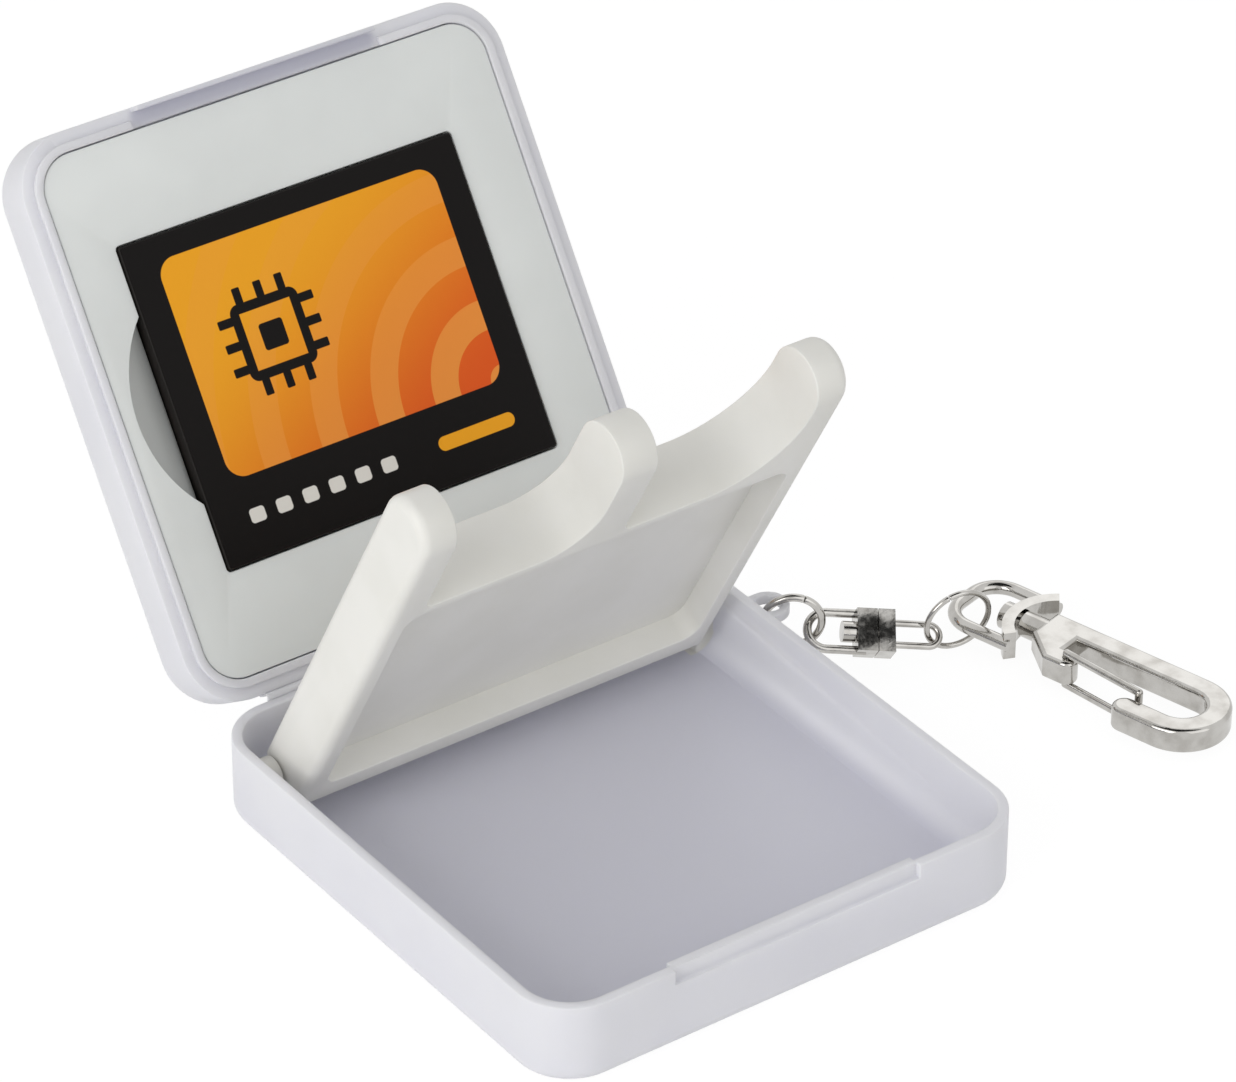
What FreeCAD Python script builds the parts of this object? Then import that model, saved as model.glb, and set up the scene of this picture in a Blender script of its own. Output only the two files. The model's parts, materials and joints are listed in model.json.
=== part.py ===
"""Memory card case: open tray, lid, card leaf, memory card and a chain with a clasp.

Row frame in mm: origin in the middle of the tray's underside, X along the hinge with the eyelet
on +X, Y towards the hinge, Z up. Lid, insert, card and leaf are drawn closed and then turned open.
"""
import FreeCAD, Part
import Sketcher
import math
import os
from FreeCAD import Placement, Rotation, Vector

SIZES = [
    ("case_width", 61.5, "case along the hinge"),
    ("case_depth", 63.8, "case from front to hinge"),
    ("case_corner", 6.6, "corner radius seen from above"),
    ("wall", 1.2, "wall of tray and lid"),
    ("base_height", 9.8, "tray height"),
    ("base_floor", 1.2, "tray floor"),
    ("base_edge", 1.75, "rounding under the tray"),
    ("base_cove", 3.0, "rounding between floor and wall inside"),
    ("rim_gap", 0.15, "gap between the two rims when shut"),
    ("lid_height", 6.9, "lid height"),
    ("lid_top", 1.0, "lid panel"),
    ("lid_edge", 2.1, "rounding on top of the lid"),
    ("lid_open", 124.0, "lid angle at rest in degrees"),
    ("tongue_gap", 0.15, "play between the lid's tongue and the tray"),
    ("tongue_thick", 0.95, "tongue thickness"),
    ("tongue_drop", 0.5, "how far the tongue stands out of the rim"),
    ("tongue_root", 1.4, "height of the tongue's root inside the lid"),
    ("latch_width", 30.6, "latch tab width"),
    ("latch_side_gap", 0.3, "play beside the latch tab"),
    ("tab_thick", 0.55, "latch tab thickness"),
    ("tab_drop", 1.6, "latch tab length below the lid's rim"),
    ("tab_play", 0.15, "play behind the latch tab"),
    ("tab_end_gap", 0.3, "play below the latch tab"),
    ("latch_backing", 0.6, "thicker front wall behind the latch"),
    ("hinge_offset", 0.45, "hinge line behind the back wall"),
    ("strip_thick", 0.3, "living hinge thickness"),
    ("strip_margin", 7.75, "case outline beyond each end of the living hinge"),
    ("strip_flange", 1.4, "height of each hinge flange"),
    ("insert_gap", 0.15, "play around the lid insert"),
    ("insert_proud", 0.3, "insert face beyond the lid's rim"),
    ("insert_plate", 1.0, "insert face thickness"),
    ("insert_skirt", 1.0, "insert skirt thickness"),
    ("card_side_margin", 9.35, "half of what the case is wider than the memory card"),
    ("card_end_margin", 13.7, "half of what the case is deeper than the memory card"),
    ("card_thick", 3.3, "memory card thickness with its label"),
    ("card_corner", 0.3, "memory card corner radius"),
    ("card_gap", 0.2, "play around the card in its pocket"),
    ("card_seat_gap", 0.05, "play under the card"),
    ("card_raise", 0.3, "card face beyond the insert face"),
    ("card_offset", 0.9, "card centre left of the case's centre"),
    ("pocket_shell", 1.0, "wall and floor of the card pocket"),
    ("finger_radius", 15.4, "round finger notch at the card's side"),
    ("finger_reach", 4.2, "finger notch beyond the card pocket"),
    ("finger_depth", 1.3, "finger notch depth"),
    ("cover_thick", 0.25, "card cover plates"),
    ("cover_margin", 1.5, "card frame around its covers"),
    ("label_thick", 0.1, "card label"),
    ("label_margin", 0.15, "card edge around the label"),
    ("socket_margin", 2.4, "card beside its connector"),
    ("socket_wall", 1.2, "wall around the slot of the card connector"),
    ("socket_depth", 3.6, "card connector depth"),
    ("socket_thick", 1.8, "card connector thickness"),
    ("socket_slot", 0.7, "slot in the card connector"),
    ("leaf_margin", 3.95, "case outline beyond each side of the card leaf"),
    ("leaf_thick", 7.6, "card leaf thickness"),
    ("leaf_front_gap", 0.82, "prong tips from the latch wall when folded"),
    ("leaf_edge", 1.2, "rounding along the leaf's sides"),
    ("leaf_floor_gap", 0.3, "leaf above the floor when folded"),
    ("leaf_angle", 61.5, "leaf angle at rest in degrees"),
    ("scoop_length", 15.3, "finger scoops from the prong tips"),
    ("scoop_corner", 1.0, "finger scoop radius at its steep wall"),
    ("scoop_ramp_left", 6.5, "left finger scoop radius at the middle prong"),
    ("scoop_ramp_right", 10.0, "right finger scoop radius at the side prong"),
    ("leaf_rail", 1.3, "rail between the pocket and the scoops"),
    ("prong_side", 4.2, "side prong width"),
    ("prong_middle", 4.4, "middle prong width"),
    ("prong_tip_flat", 0.1, "flat left between the tip roundings"),
    ("leaf_pocket_margin", 2.5, "leaf beside its pocket for two small cards"),
    ("leaf_pocket_start", 3.0, "pocket from the pivot"),
    ("leaf_pocket_depth", 3.2, "pocket depth"),
    ("leaf_pocket_corner", 2.0, "pocket corner radius"),
    ("pivot_back", 7.18, "leaf pivot from the back outline"),
    ("heel_radius", 2.915, "leaf heel around the pivot"),
    ("leaf_pin_radius", 0.9, "leaf pivot pins"),
    ("leaf_pin_play", 0.05, "running fit of the pivot pins"),
    ("leaf_side_gap", 0.3, "play beside the leaf"),
    ("leaf_pin_reach", 1.7, "pin length in its lug"),
    ("pivot_lug_radius", 2.0, "round top of the pivot lugs"),
    ("eyelet_back", 14.3, "eyelet from the back outline"),
    ("eyelet_reach", 2.3, "eyelet hole from the wall"),
    ("eyelet_drop", 2.1, "eyelet below the rim"),
    ("eyelet_thick", 1.2, "eyelet plate"),
    ("eyelet_bore", 1.5, "eyelet hole radius"),
    ("eyelet_radius", 2.4, "eyelet outer radius"),
    ("ring_a_radius", 3.28, "first ring to its wire's middle"),
    ("ring_a_wire", 0.45, "first ring wire radius"),
    ("ring_a_heading", -33.3, "first ring direction in degrees"),
    ("ring_a_slope", 34.7, "first ring slope in degrees"),
    ("ring_a_tilt", 3.5, "first ring from upright in degrees"),
    ("ring_b_radius", 3.78, "second ring to its wire's middle"),
    ("ring_b_wire", 0.34, "second ring wire radius"),
    ("ring_b_heading", -11.9, "second ring direction in degrees"),
    ("ring_b_tilt", 8.2, "second ring from upright in degrees"),
    ("ring_b_lift", 1.67, "second ring's middle above what it links"),
    ("link_gap", 0.27, "play between linked wires"),
    ("loop_a_half", 2.1, "first swivel loop, half width to the wire"),
    ("loop_a_wire", 0.5, "first swivel loop wire radius"),
    ("loop_a_leg", 3.3, "first swivel loop straight legs"),
    ("collar_half", 2.45, "half width of the swivel blocks"),
    ("collar_thick", 2.8, "thickness of the swivel blocks"),
    ("collar_length", 2.3, "first swivel block length"),
    ("swivel_gap", 0.1, "play between the swivel halves"),
    ("block_length", 1.9, "second swivel block length"),
    ("loop_b_half", 1.25, "second swivel loop, half width to the wire"),
    ("loop_b_wire", 0.4, "second swivel loop wire radius"),
    ("loop_b_leg", 4.0, "second swivel loop straight legs"),
    ("rivet_radius", 0.85, "swivel rivet shaft"),
    ("rivet_play", 0.05, "running fit of the rivet"),
    ("rivet_head_radius", 1.2, "swivel rivet head radius"),
    ("rivet_head_length", 1.4, "swivel rivet head length"),
    ("swivel_heading", -28.3, "swivel direction in degrees"),
    ("swivel_roll", 39.4, "swivel roll in degrees"),
    ("swivel_end_height", 2.55, "height of the swivel's far end"),
    ("eye_half", 4.6, "clasp eye, half width to the wire"),
    ("eye_wire", 0.8, "clasp eye wire radius"),
    ("eye_corner", 3.5, "clasp eye corner radius to the wire"),
    ("eye_length", 9.8, "clasp eye length to the wire"),
    ("eye_link", 5.86, "where the second ring holds the eye's leg"),
    ("saddle_sag", 2.3, "saddle arch depth"),
    ("saddle_thick", 1.4, "saddle thickness"),
    ("saddle_height", 3.4, "saddle height"),
    ("leg_end", 0.5, "where the eye's legs end in the saddle"),
    ("pin_radius", 0.95, "clasp pin shaft"),
    ("pin_play", 0.05, "running fit of the clasp pin"),
    ("pin_head_radius", 1.6, "clasp pin head radius"),
    ("pin_head_length", 0.9, "clasp pin head length"),
    ("clasp_gap", 0.1, "end play of the clasp pin"),
    ("neck_radius", 1.5, "hook neck radius"),
    ("neck_gap", 0.4, "hook neck from the middle of the saddle"),
    ("hook_start", 0.9, "hook block from the saddle's ends"),
    ("hook_back", 2.4, "hook back face from the clasp's line"),
    ("hook_limb", 2.9, "width of the hook's limbs"),
    ("hook_round", 5.6, "outer radius of the hook's bend"),
    ("hook_reach", 21.5, "middle of the bend along the clasp"),
    ("hook_thick", 3.0, "hook thickness"),
    ("hook_heading", -75.0, "clasp direction in degrees"),
    ("hook_edge", 0.5, "rounding on the hook's edges"),
    ("nose_length", 4.5, "straight nose up to its round end"),
    ("slot_start", 5.6, "hook opening from the saddle's ends"),
    ("ear_along", 6.9, "gate pivot along the clasp"),
    ("ear_across", 4.2, "gate pivot from the clasp's line"),
    ("ear_radius", 1.3, "ear around the gate pivot"),
    ("ear_root", 4.6, "where the ear leaves the block"),
    ("gate_wire", 0.45, "gate wire radius"),
    ("gate_side_gap", 0.1, "gate legs beside the hook's faces"),
    ("gate_play", 0.05, "running fit of the gate"),
    ("gate_nose_gap", 0.1, "gate inside the nose"),
    ("gate_past_nose", 0.4, "gate end beyond the nose's round end"),
    ("neck_root", 1.2, "hook neck inside the hook's block"),
    ("floor_gap", 1.05, "hook tip above the floor, as its gate lies on it"),
    ("cut_over", 1.2, "how far a cut runs past an outer face"),
]

DERIVED = {
    "strip_length": "case_width - 2 * strip_margin",
    "card_long": "case_width - 2 * card_side_margin",
    "card_short": "case_depth - 2 * card_end_margin",
    "socket_width": "card_long - 2 * socket_margin",
    "leaf_width": "case_width - 2 * leaf_margin",
    "leaf_length": "case_depth - pivot_back - wall - latch_backing - leaf_front_gap",
    "scoop_start": "leaf_length - scoop_length",
    "leaf_pocket_width": "leaf_width - 2 * leaf_pocket_margin",
    "pivot_y": "case_depth / 2 - pivot_back",
    "eyelet_y": "case_depth / 2 - eyelet_back",
    "nose_start": "hook_reach - nose_length",
    "gate_half": "hook_thick / 2 + gate_side_gap + gate_wire",
}

doc = FreeCAD.newDocument("memory_card_case")
sizes = doc.addObject("Spreadsheet::Sheet", "sizes")
for row, (alias, value, note) in enumerate(SIZES, start=1):
    sizes.set(f"A{row}", note)
    sizes.set(f"B{row}", str(value))
    sizes.setAlias(f"B{row}", alias)
doc.recompute()
size = {alias: float(sizes.get(alias)) for alias, value, note in SIZES}

AXIS_TURN = {
    "X": Rotation(Vector(0, 1, 0), 90),
    "Y": Rotation(Vector(1, 0, 0), -90),
    "Z": Rotation(),
}


def bound(expression):
    """Formula over the sheet: known names get its prefix, derived names become their formula."""
    out = []
    word = ""
    for letter in str(expression) + " ":
        if letter.isalnum() or letter == "_":
            word += letter
            continue
        if word in DERIVED:
            out.append("(" + bound(DERIVED[word]) + ")")
        else:
            out.append("sizes." + word if word in size else word)
        out.append(letter)
        word = ""
    return "".join(out).strip()


def number(expression):
    """Value of a formula over the sheet's names."""
    return float(sizes.evalExpression(bound(expression)))


def bind(feature, **formulas):
    """Tie properties of a feature to formulas over the sheet."""
    for prop, formula in formulas.items():
        feature.setExpression(prop, bound(formula))


def place(feature, at, axis="Z"):
    """Put a feature at a point given by three formulas, its own Z along the named axis."""
    feature.Placement = Placement(Vector(), AXIS_TURN[axis])
    for letter, formula in zip("xyz", at):
        feature.setExpression("Placement.Base." + letter, bound(formula))


def new_body(label):
    """Empty body that becomes one piece."""
    body = doc.addObject("PartDesign::Body", label)
    body.Label = label
    return body


def plane_sketch(body, name, at):
    """Sketch parallel to the body's XY plane, its origin at a point given by three formulas."""
    sketch = body.newObject("Sketcher::SketchObject", name)
    plane = [item for item in body.Origin.OriginFeatures if item.Role == "XY_Plane"][0]
    sketch.AttachmentSupport = [(plane, "")]
    sketch.MapMode = "FlatFace"
    for letter, formula in zip("xyz", at):
        sketch.setExpression("AttachmentOffset.Base." + letter, bound(formula))
    return sketch


def dimension(sketch, name, kind, refs, formula):
    """Named dimension tied to a formula over the sheet."""
    index = sketch.addConstraint(Sketcher.Constraint(kind, *refs, number(formula)))
    sketch.renameConstraint(index, name)
    sketch.setExpression("Constraints." + name, bound(formula))


def rounded_rectangle(body, name, width, depth, radius, at):
    """Sketch of a rectangle with round corners, centred on its own origin."""
    sketch = plane_sketch(body, name, at)
    half_w = number(width) / 2
    half_d = number(depth) / 2
    corner = number(radius)
    in_w = half_w - corner
    in_d = half_d - corner
    spans = [
        ((-in_w, -half_d), (in_w, -half_d), (in_w, -in_d), -90),
        ((half_w, -in_d), (half_w, in_d), (in_w, in_d), 0),
        ((in_w, half_d), (-in_w, half_d), (-in_w, in_d), 90),
        ((-half_w, in_d), (-half_w, -in_d), (-in_w, -in_d), 180),
    ]
    for start, end, centre, turn in spans:
        sketch.addGeometry(Part.LineSegment(Vector(*start, 0), Vector(*end, 0)), False)
        circle = Part.Circle(Vector(*centre, 0), Vector(0, 0, 1), corner)
        arc = Part.ArcOfCircle(circle, math.radians(turn), math.radians(turn + 90))
        sketch.addGeometry(arc, False)
    for index in range(8):
        following = (index + 1) % 8
        sketch.addConstraint(Sketcher.Constraint("Tangent", index, 2, following, 1))
    for line, kind in ((0, "Horizontal"), (2, "Vertical"), (4, "Horizontal"), (6, "Vertical")):
        sketch.addConstraint(Sketcher.Constraint(kind, line))
    for arc in (3, 5, 7):
        sketch.addConstraint(Sketcher.Constraint("Equal", 1, arc))
    dimension(sketch, "corner", "Radius", (1,), radius)
    dimension(sketch, "right", "DistanceX", (-1, 1, 2, 1), f"({width}) / 2")
    dimension(sketch, "left", "DistanceX", (6, 1, -1, 1), f"({width}) / 2")
    dimension(sketch, "upper", "DistanceY", (-1, 1, 4, 1), f"({depth}) / 2")
    dimension(sketch, "lower", "DistanceY", (0, 1, -1, 1), f"({depth}) / 2")
    return sketch


def polygon(body, name, corners, at):
    """Sketch of a closed polygon whose corners are pairs of formulas."""
    sketch = plane_sketch(body, name, at)
    points = [Vector(number(x), number(y), 0) for x, y in corners]
    count = len(points)
    for index in range(count):
        sketch.addGeometry(Part.LineSegment(points[index], points[(index + 1) % count]), False)
    for index in range(count):
        sketch.addConstraint(Sketcher.Constraint("Coincident", index, 2, (index + 1) % count, 1))
    for index, (x, y) in enumerate(corners):
        dimension(sketch, f"along_{index}", "DistanceX", (-1, 1, index, 1), x)
        dimension(sketch, f"across_{index}", "DistanceY", (-1, 1, index, 1), y)
    return sketch


def scoop_outline(body, name, sides, ends, radii, height):
    """Sketch of a notch that is open at its mouth, with a radius of its own at each root corner."""
    sketch = plane_sketch(body, name, ("0", "0", height))
    left, right = (number(formula) for formula in sides)
    root, mouth = (number(formula) for formula in ends)
    left_r, right_r = (number(formula) for formula in radii)
    lines = [
        ((left, mouth), (left, root - left_r)),
        ((left + left_r, root), (right - right_r, root)),
        ((right, root - right_r), (right, mouth)),
        ((right, mouth), (left, mouth)),
    ]
    for start, end in lines:
        sketch.addGeometry(Part.LineSegment(Vector(*start, 0), Vector(*end, 0)), False)
    for centre_x, radius, turn in ((left + left_r, left_r, 90), (right - right_r, right_r, 0)):
        circle = Part.Circle(Vector(centre_x, root - radius, 0), Vector(0, 0, 1), radius)
        arc = Part.ArcOfCircle(circle, math.radians(turn), math.radians(turn + 90))
        sketch.addGeometry(arc, False)
    for first, first_end, second, second_end in ((0, 2, 4, 2), (4, 1, 1, 1), (1, 2, 5, 2), (5, 1, 2, 1)):
        sketch.addConstraint(Sketcher.Constraint("Tangent", first, first_end, second, second_end))
    for first, second in ((2, 3), (3, 0)):
        sketch.addConstraint(Sketcher.Constraint("Coincident", first, 2, second, 1))
    for line, kind in ((0, "Vertical"), (1, "Horizontal"), (2, "Vertical"), (3, "Horizontal")):
        sketch.addConstraint(Sketcher.Constraint(kind, line))
    dimension(sketch, "left_corner", "Radius", (4,), radii[0])
    dimension(sketch, "right_corner", "Radius", (5,), radii[1])
    dimension(sketch, "left", "DistanceX", (-1, 1, 0, 1), sides[0])
    dimension(sketch, "right", "DistanceX", (-1, 1, 2, 2), sides[1])
    dimension(sketch, "root", "DistanceY", (-1, 1, 1, 1), ends[0])
    dimension(sketch, "mouth", "DistanceY", (-1, 1, 0, 1), ends[1])
    return sketch


def pad(body, name, sketch, length):
    """Grow a sketch upwards."""
    feature = body.newObject("PartDesign::Pad", name)
    feature.Profile = sketch
    bind(feature, Length=length)
    sketch.Visibility = False
    return feature


def pocket(body, name, sketch, length, upwards):
    """Cut a sketch's shape, upwards or downwards from its plane."""
    feature = body.newObject("PartDesign::Pocket", name)
    feature.Profile = sketch
    feature.Reversed = upwards
    bind(feature, Length=length)
    sketch.Visibility = False
    return feature


def body_box(body, name, kind, x, y, z):
    """Additive or Subtractive box between pairs of formulas."""
    feature = body.newObject(f"PartDesign::{kind}Box", name)
    place(feature, (x[0], y[0], z[0]))
    bind(
        feature,
        Length=f"({x[1]}) - ({x[0]})",
        Width=f"({y[1]}) - ({y[0]})",
        Height=f"({z[1]}) - ({z[0]})",
    )
    return feature


def body_cylinder(body, name, kind, radius, length, at, axis="Z"):
    """Additive or Subtractive cylinder from a point along an axis."""
    feature = body.newObject(f"PartDesign::{kind}Cylinder", name)
    place(feature, at, axis)
    bind(feature, Radius=radius, Height=length)
    return feature


def fillet(body, name, radius, chosen):
    """Round those edges of the body so far for which chosen(edge) holds."""
    doc.recompute()
    base = body.Tip
    names = [f"Edge{n}" for n, edge in enumerate(base.Shape.Edges, start=1) if chosen(edge)]
    feature = body.newObject("PartDesign::Fillet", name)
    feature.Base = (base, names)
    bind(feature, Radius=radius)
    return feature


def lies_at(edge, axis, value):
    """True when the whole edge lies in the plane axis = value."""
    low = getattr(edge.BoundBox, axis + "Min")
    high = getattr(edge.BoundBox, axis + "Max")
    return abs(low - value) < 1e-4 and abs(high - value) < 1e-4


def along(edge, axis):
    """True when the edge is a straight line along the axis."""
    others = [letter for letter in "XYZ" if letter != axis]
    return all(getattr(edge.BoundBox, letter + "Length") < 1e-4 for letter in others)


def solid(kind, name, at, axis="Z", **formulas):
    """Primitive solid outside a body, its properties tied to the sheet."""
    feature = doc.addObject("Part::" + kind, name)
    place(feature, at, axis)
    bind(feature, **formulas)
    return feature


def torus(name, ring, wire):
    """Whole torus around its own Z."""
    feature = doc.addObject("Part::Torus", name)
    bind(feature, Radius1=ring, Radius2=wire)
    return feature


def bend(name, at, ring, wire, start, sweep):
    """Part of a torus around Z from a starting angle in degrees."""
    feature = solid("Torus", name, at, Radius1=ring, Radius2=wire)
    feature.Angle3 = sweep
    feature.Placement = Placement(feature.Placement.Base, Rotation(Vector(0, 0, 1), start))
    return feature


def rod(name, at, axis, radius, length):
    """Cylinder from a point along an axis."""
    return solid("Cylinder", name, at, axis, Radius=radius, Height=length)


def fuse(name, shapes):
    """One solid from several."""
    feature = doc.addObject("Part::MultiFuse", name)
    feature.Shapes = shapes
    feature.Refine = True
    return feature


def cut(name, base, tool):
    """Base without tool."""
    feature = doc.addObject("Part::Cut", name)
    feature.Base = base
    feature.Tool = tool
    feature.Refine = True
    return feature


def turned_open(line_y, line_z, angle):
    """Placement that turns a piece about a line along X, its front edge upwards."""
    turn = Rotation(Vector(1, 0, 0), -angle)
    return Placement(Vector(), turn, Vector(0, number(line_y), number(line_z)))


def heading_vector(heading, slope=0.0):
    """Unit vector from a heading and a downward slope in degrees."""
    flat = math.cos(math.radians(slope))
    turn = math.radians(heading)
    return Vector(flat * math.cos(turn), flat * math.sin(turn), -math.sin(math.radians(slope)))


HALF_W = "case_width / 2"
HALF_D = "case_depth / 2"
RIM = "(base_height + rim_gap)"
HINGE_Y = "(case_depth / 2 + hinge_offset)"
HINGE_Z = "(base_height + rim_gap / 2)"
PIVOT_Z = "(base_floor + leaf_floor_gap + leaf_thick - heel_radius)"
INSERT_FACE = "(base_height + rim_gap - insert_proud)"
CARD_FACE = "(base_height + rim_gap - insert_proud - card_raise)"
TONGUE_INSET = "(wall + tongue_gap)"
INSERT_INSET = "(wall + tongue_gap + tongue_thick + insert_gap)"
CEILING = "(base_height + rim_gap + lid_height - lid_top)"


def outline(body, name, inset, height):
    """The case's outline, moved inwards, at a height."""
    return rounded_rectangle(
        body,
        name,
        f"case_width - 2 * {inset}",
        f"case_depth - 2 * {inset}",
        f"case_corner - {inset}",
        ("0", "0", height),
    )


def make_base():
    """Tray with pivot lugs, latch recess and eyelet."""
    body = new_body("base_shell")
    pad(body, "base_block", outline(body, "base_outline", "0", "0"), "base_height")
    fillet(body, "base_under_edge", "base_edge", lambda edge: lies_at(edge, "Z", 0))
    cavity = outline(body, "base_cavity_outline", "wall", "base_floor")
    pocket(body, "base_cavity", cavity, "base_height - base_floor", True)
    floor = size["base_floor"]
    fillet(body, "base_floor_cove", "base_cove", lambda edge: lies_at(edge, "Z", floor))
    half = "(latch_width / 2 + latch_side_gap)"
    front_inside = f"-{HALF_D} + wall"
    body_box(
        body,
        "latch_wall",
        "Additive",
        (f"-{half}", half),
        (f"-{HALF_D} + wall / 2", f"{front_inside} + latch_backing"),
        ("base_floor / 2 + base_cove", "base_height"),
    )
    body_box(
        body,
        "latch_recess",
        "Subtractive",
        (f"-{half}", half),
        (f"-{HALF_D} - cut_over", f"-{HALF_D} + tab_thick + tab_play"),
        (f"{RIM} - tab_drop - tab_end_gap", "base_height + cut_over"),
    )
    inner = "leaf_width / 2 + leaf_side_gap"
    outer = f"{HALF_W} - wall / 2"
    for side, low, high in (("right", inner, outer), ("left", f"-({outer})", f"-({inner})")):
        body_box(
            body,
            f"pivot_lug_{side}",
            "Additive",
            (low, high),
            ("pivot_y - pivot_lug_radius", "pivot_y + pivot_lug_radius"),
            ("base_floor / 2", PIVOT_Z),
        )
        body_cylinder(
            body,
            f"pivot_lug_top_{side}",
            "Additive",
            "pivot_lug_radius",
            f"({high}) - ({low})",
            (low, "pivot_y", PIVOT_Z),
            "X",
        )
        reach = "leaf_side_gap + leaf_pin_reach + leaf_side_gap"
        start = "leaf_width / 2" if side == "right" else f"-leaf_width / 2 - ({reach})"
        body_cylinder(
            body,
            f"pivot_bore_{side}",
            "Subtractive",
            "leaf_pin_radius + leaf_pin_play",
            reach,
            (start, "pivot_y", PIVOT_Z),
            "X",
        )
    low = "base_height - eyelet_drop - eyelet_thick / 2"
    hole_x = f"{HALF_W} + eyelet_reach"
    body_box(
        body,
        "eyelet_root",
        "Additive",
        (f"{HALF_W} - wall / 2", hole_x),
        ("eyelet_y - eyelet_radius", "eyelet_y + eyelet_radius"),
        (low, f"{low} + eyelet_thick"),
    )
    body_cylinder(
        body, "eyelet_round", "Additive", "eyelet_radius", "eyelet_thick", (hole_x, "eyelet_y", low)
    )
    body_cylinder(
        body, "eyelet_hole", "Subtractive", "eyelet_bore", "eyelet_thick", (hole_x, "eyelet_y", low)
    )
    return body


def make_lid():
    """Lid with its tongue and latch tab, drawn shut."""
    body = new_body("lid_shell")
    pad(body, "lid_block", outline(body, "lid_outline", "0", RIM), "lid_height")
    top = number(f"{RIM} + lid_height")
    fillet(body, "lid_top_edge", "lid_edge", lambda edge: lies_at(edge, "Z", top))
    cavity = outline(body, "lid_cavity_outline", "wall", RIM)
    pocket(body, "lid_cavity", cavity, "lid_height - lid_top", True)
    root = outline(body, "tongue_root_outline", "wall / 2", RIM)
    pad(body, "tongue_root_ring", root, "tongue_root")
    tongue = outline(body, "tongue_outline", TONGUE_INSET, f"{RIM} - tongue_drop")
    pad(body, "tongue_ring", tongue, "tongue_drop")
    opening = outline(
        body, "tongue_opening_outline", f"({TONGUE_INSET} + tongue_thick)", f"{RIM} - tongue_drop"
    )
    pocket(body, "tongue_opening", opening, "tongue_drop + tongue_root", True)
    half = "(latch_width / 2 + 2 * latch_side_gap)"
    body_box(
        body,
        "tongue_notch",
        "Subtractive",
        (f"-{half}", half),
        (f"-{HALF_D} + wall", f"-{HALF_D} + {TONGUE_INSET} + 2 * tongue_thick"),
        (f"{RIM} - tongue_drop", RIM),
    )
    body_box(
        body,
        "latch_tab",
        "Additive",
        ("-latch_width / 2", "latch_width / 2"),
        (f"-{HALF_D}", f"-{HALF_D} + tab_thick"),
        (f"{RIM} - tab_drop", f"{RIM} + tab_thick"),
    )
    return body


def make_hinge():
    """Thin strip: a flange on each back wall and a bend around the hinge line."""
    start = "-strip_length / 2"
    lower = solid(
        "Box",
        "hinge_lower_flange",
        (start, HALF_D, f"{HINGE_Z} - strip_flange"),
        Length="strip_length",
        Width="strip_thick",
        Height="strip_flange",
    )
    upper = solid(
        "Box",
        "hinge_upper_flange",
        (start, HALF_D, HINGE_Z),
        Length="strip_length",
        Width="strip_thick",
        Height="strip_flange",
    )
    doc.recompute()
    upper_closed = upper.Placement
    for letter in "xyz":
        upper.setExpression("Placement.Base." + letter, None)
    upper.Placement = turned_open(HINGE_Y, HINGE_Z, size["lid_open"]).multiply(upper_closed)
    line = (start, HINGE_Y, HINGE_Z)
    thick = rod("hinge_bend_outer", line, "X", "hinge_offset", "strip_length")
    thin = rod("hinge_bend_inner", line, "X", "hinge_offset - strip_thick", "strip_length")
    first = Rotation(Vector(1, 0, 0), 180 - size["lid_open"])
    turn = first.multiply(Rotation(Vector(0, 1, 0), Vector(0, 0, 1), Vector(1, 0, 0), "ZXY"))
    for piece in (thick, thin):
        bind(piece, Angle="lid_open")
        piece.Placement = Placement(piece.Placement.Base, turn)
    doc.recompute()
    web = cut("hinge_bend", thick, thin)
    strip = fuse("living_hinge", [lower, web, upper])
    return strip


def make_insert():
    """Panel in the lid with the card pocket and the finger notch, drawn shut."""
    body = new_body("lid_insert")
    face = outline(body, "insert_outline", INSERT_INSET, INSERT_FACE)
    pad(body, "insert_block", face, f"{CEILING} - {INSERT_FACE}")
    hollow = outline(
        body, "insert_hollow_outline", f"({INSERT_INSET} + insert_skirt)", f"{INSERT_FACE} + insert_plate"
    )
    pocket(body, "insert_hollow", hollow, f"{CEILING} - {INSERT_FACE} - insert_plate", True)
    depth = "(card_thick - card_raise + card_seat_gap)"
    pocket_w = "(card_long + 2 * card_gap)"
    pocket_d = "(card_short + 2 * card_gap)"
    card_x = "-card_offset"
    finger_x = f"-card_offset - {pocket_w} / 2 - finger_reach + finger_radius"
    tub = rounded_rectangle(
        body,
        "tub_outline",
        f"{pocket_w} + 2 * pocket_shell",
        f"{pocket_d} + 2 * pocket_shell",
        "card_corner + pocket_shell",
        (card_x, "0", INSERT_FACE),
    )
    pad(body, "tub", tub, f"{depth} + pocket_shell")
    body_cylinder(
        body,
        "finger_tub",
        "Additive",
        "finger_radius + pocket_shell",
        "finger_depth + pocket_shell",
        (finger_x, "0", INSERT_FACE),
    )
    recess = rounded_rectangle(
        body,
        "card_pocket_outline",
        pocket_w,
        pocket_d,
        "card_corner + card_gap",
        (card_x, "0", INSERT_FACE),
    )
    pocket(body, "card_pocket", recess, depth, True)
    notch_at = (finger_x, "0", INSERT_FACE)
    body_cylinder(body, "finger_notch", "Subtractive", "finger_radius", "finger_depth", notch_at)
    return body


def card_plate(label, width, depth, corner, low, thick):
    """Flat rounded plate on the card's centre."""
    body = new_body(label)
    sketch = rounded_rectangle(body, label + "_outline", width, depth, corner, ("-card_offset", "0", low))
    pad(body, label + "_plate", sketch, thick)
    return body


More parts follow.
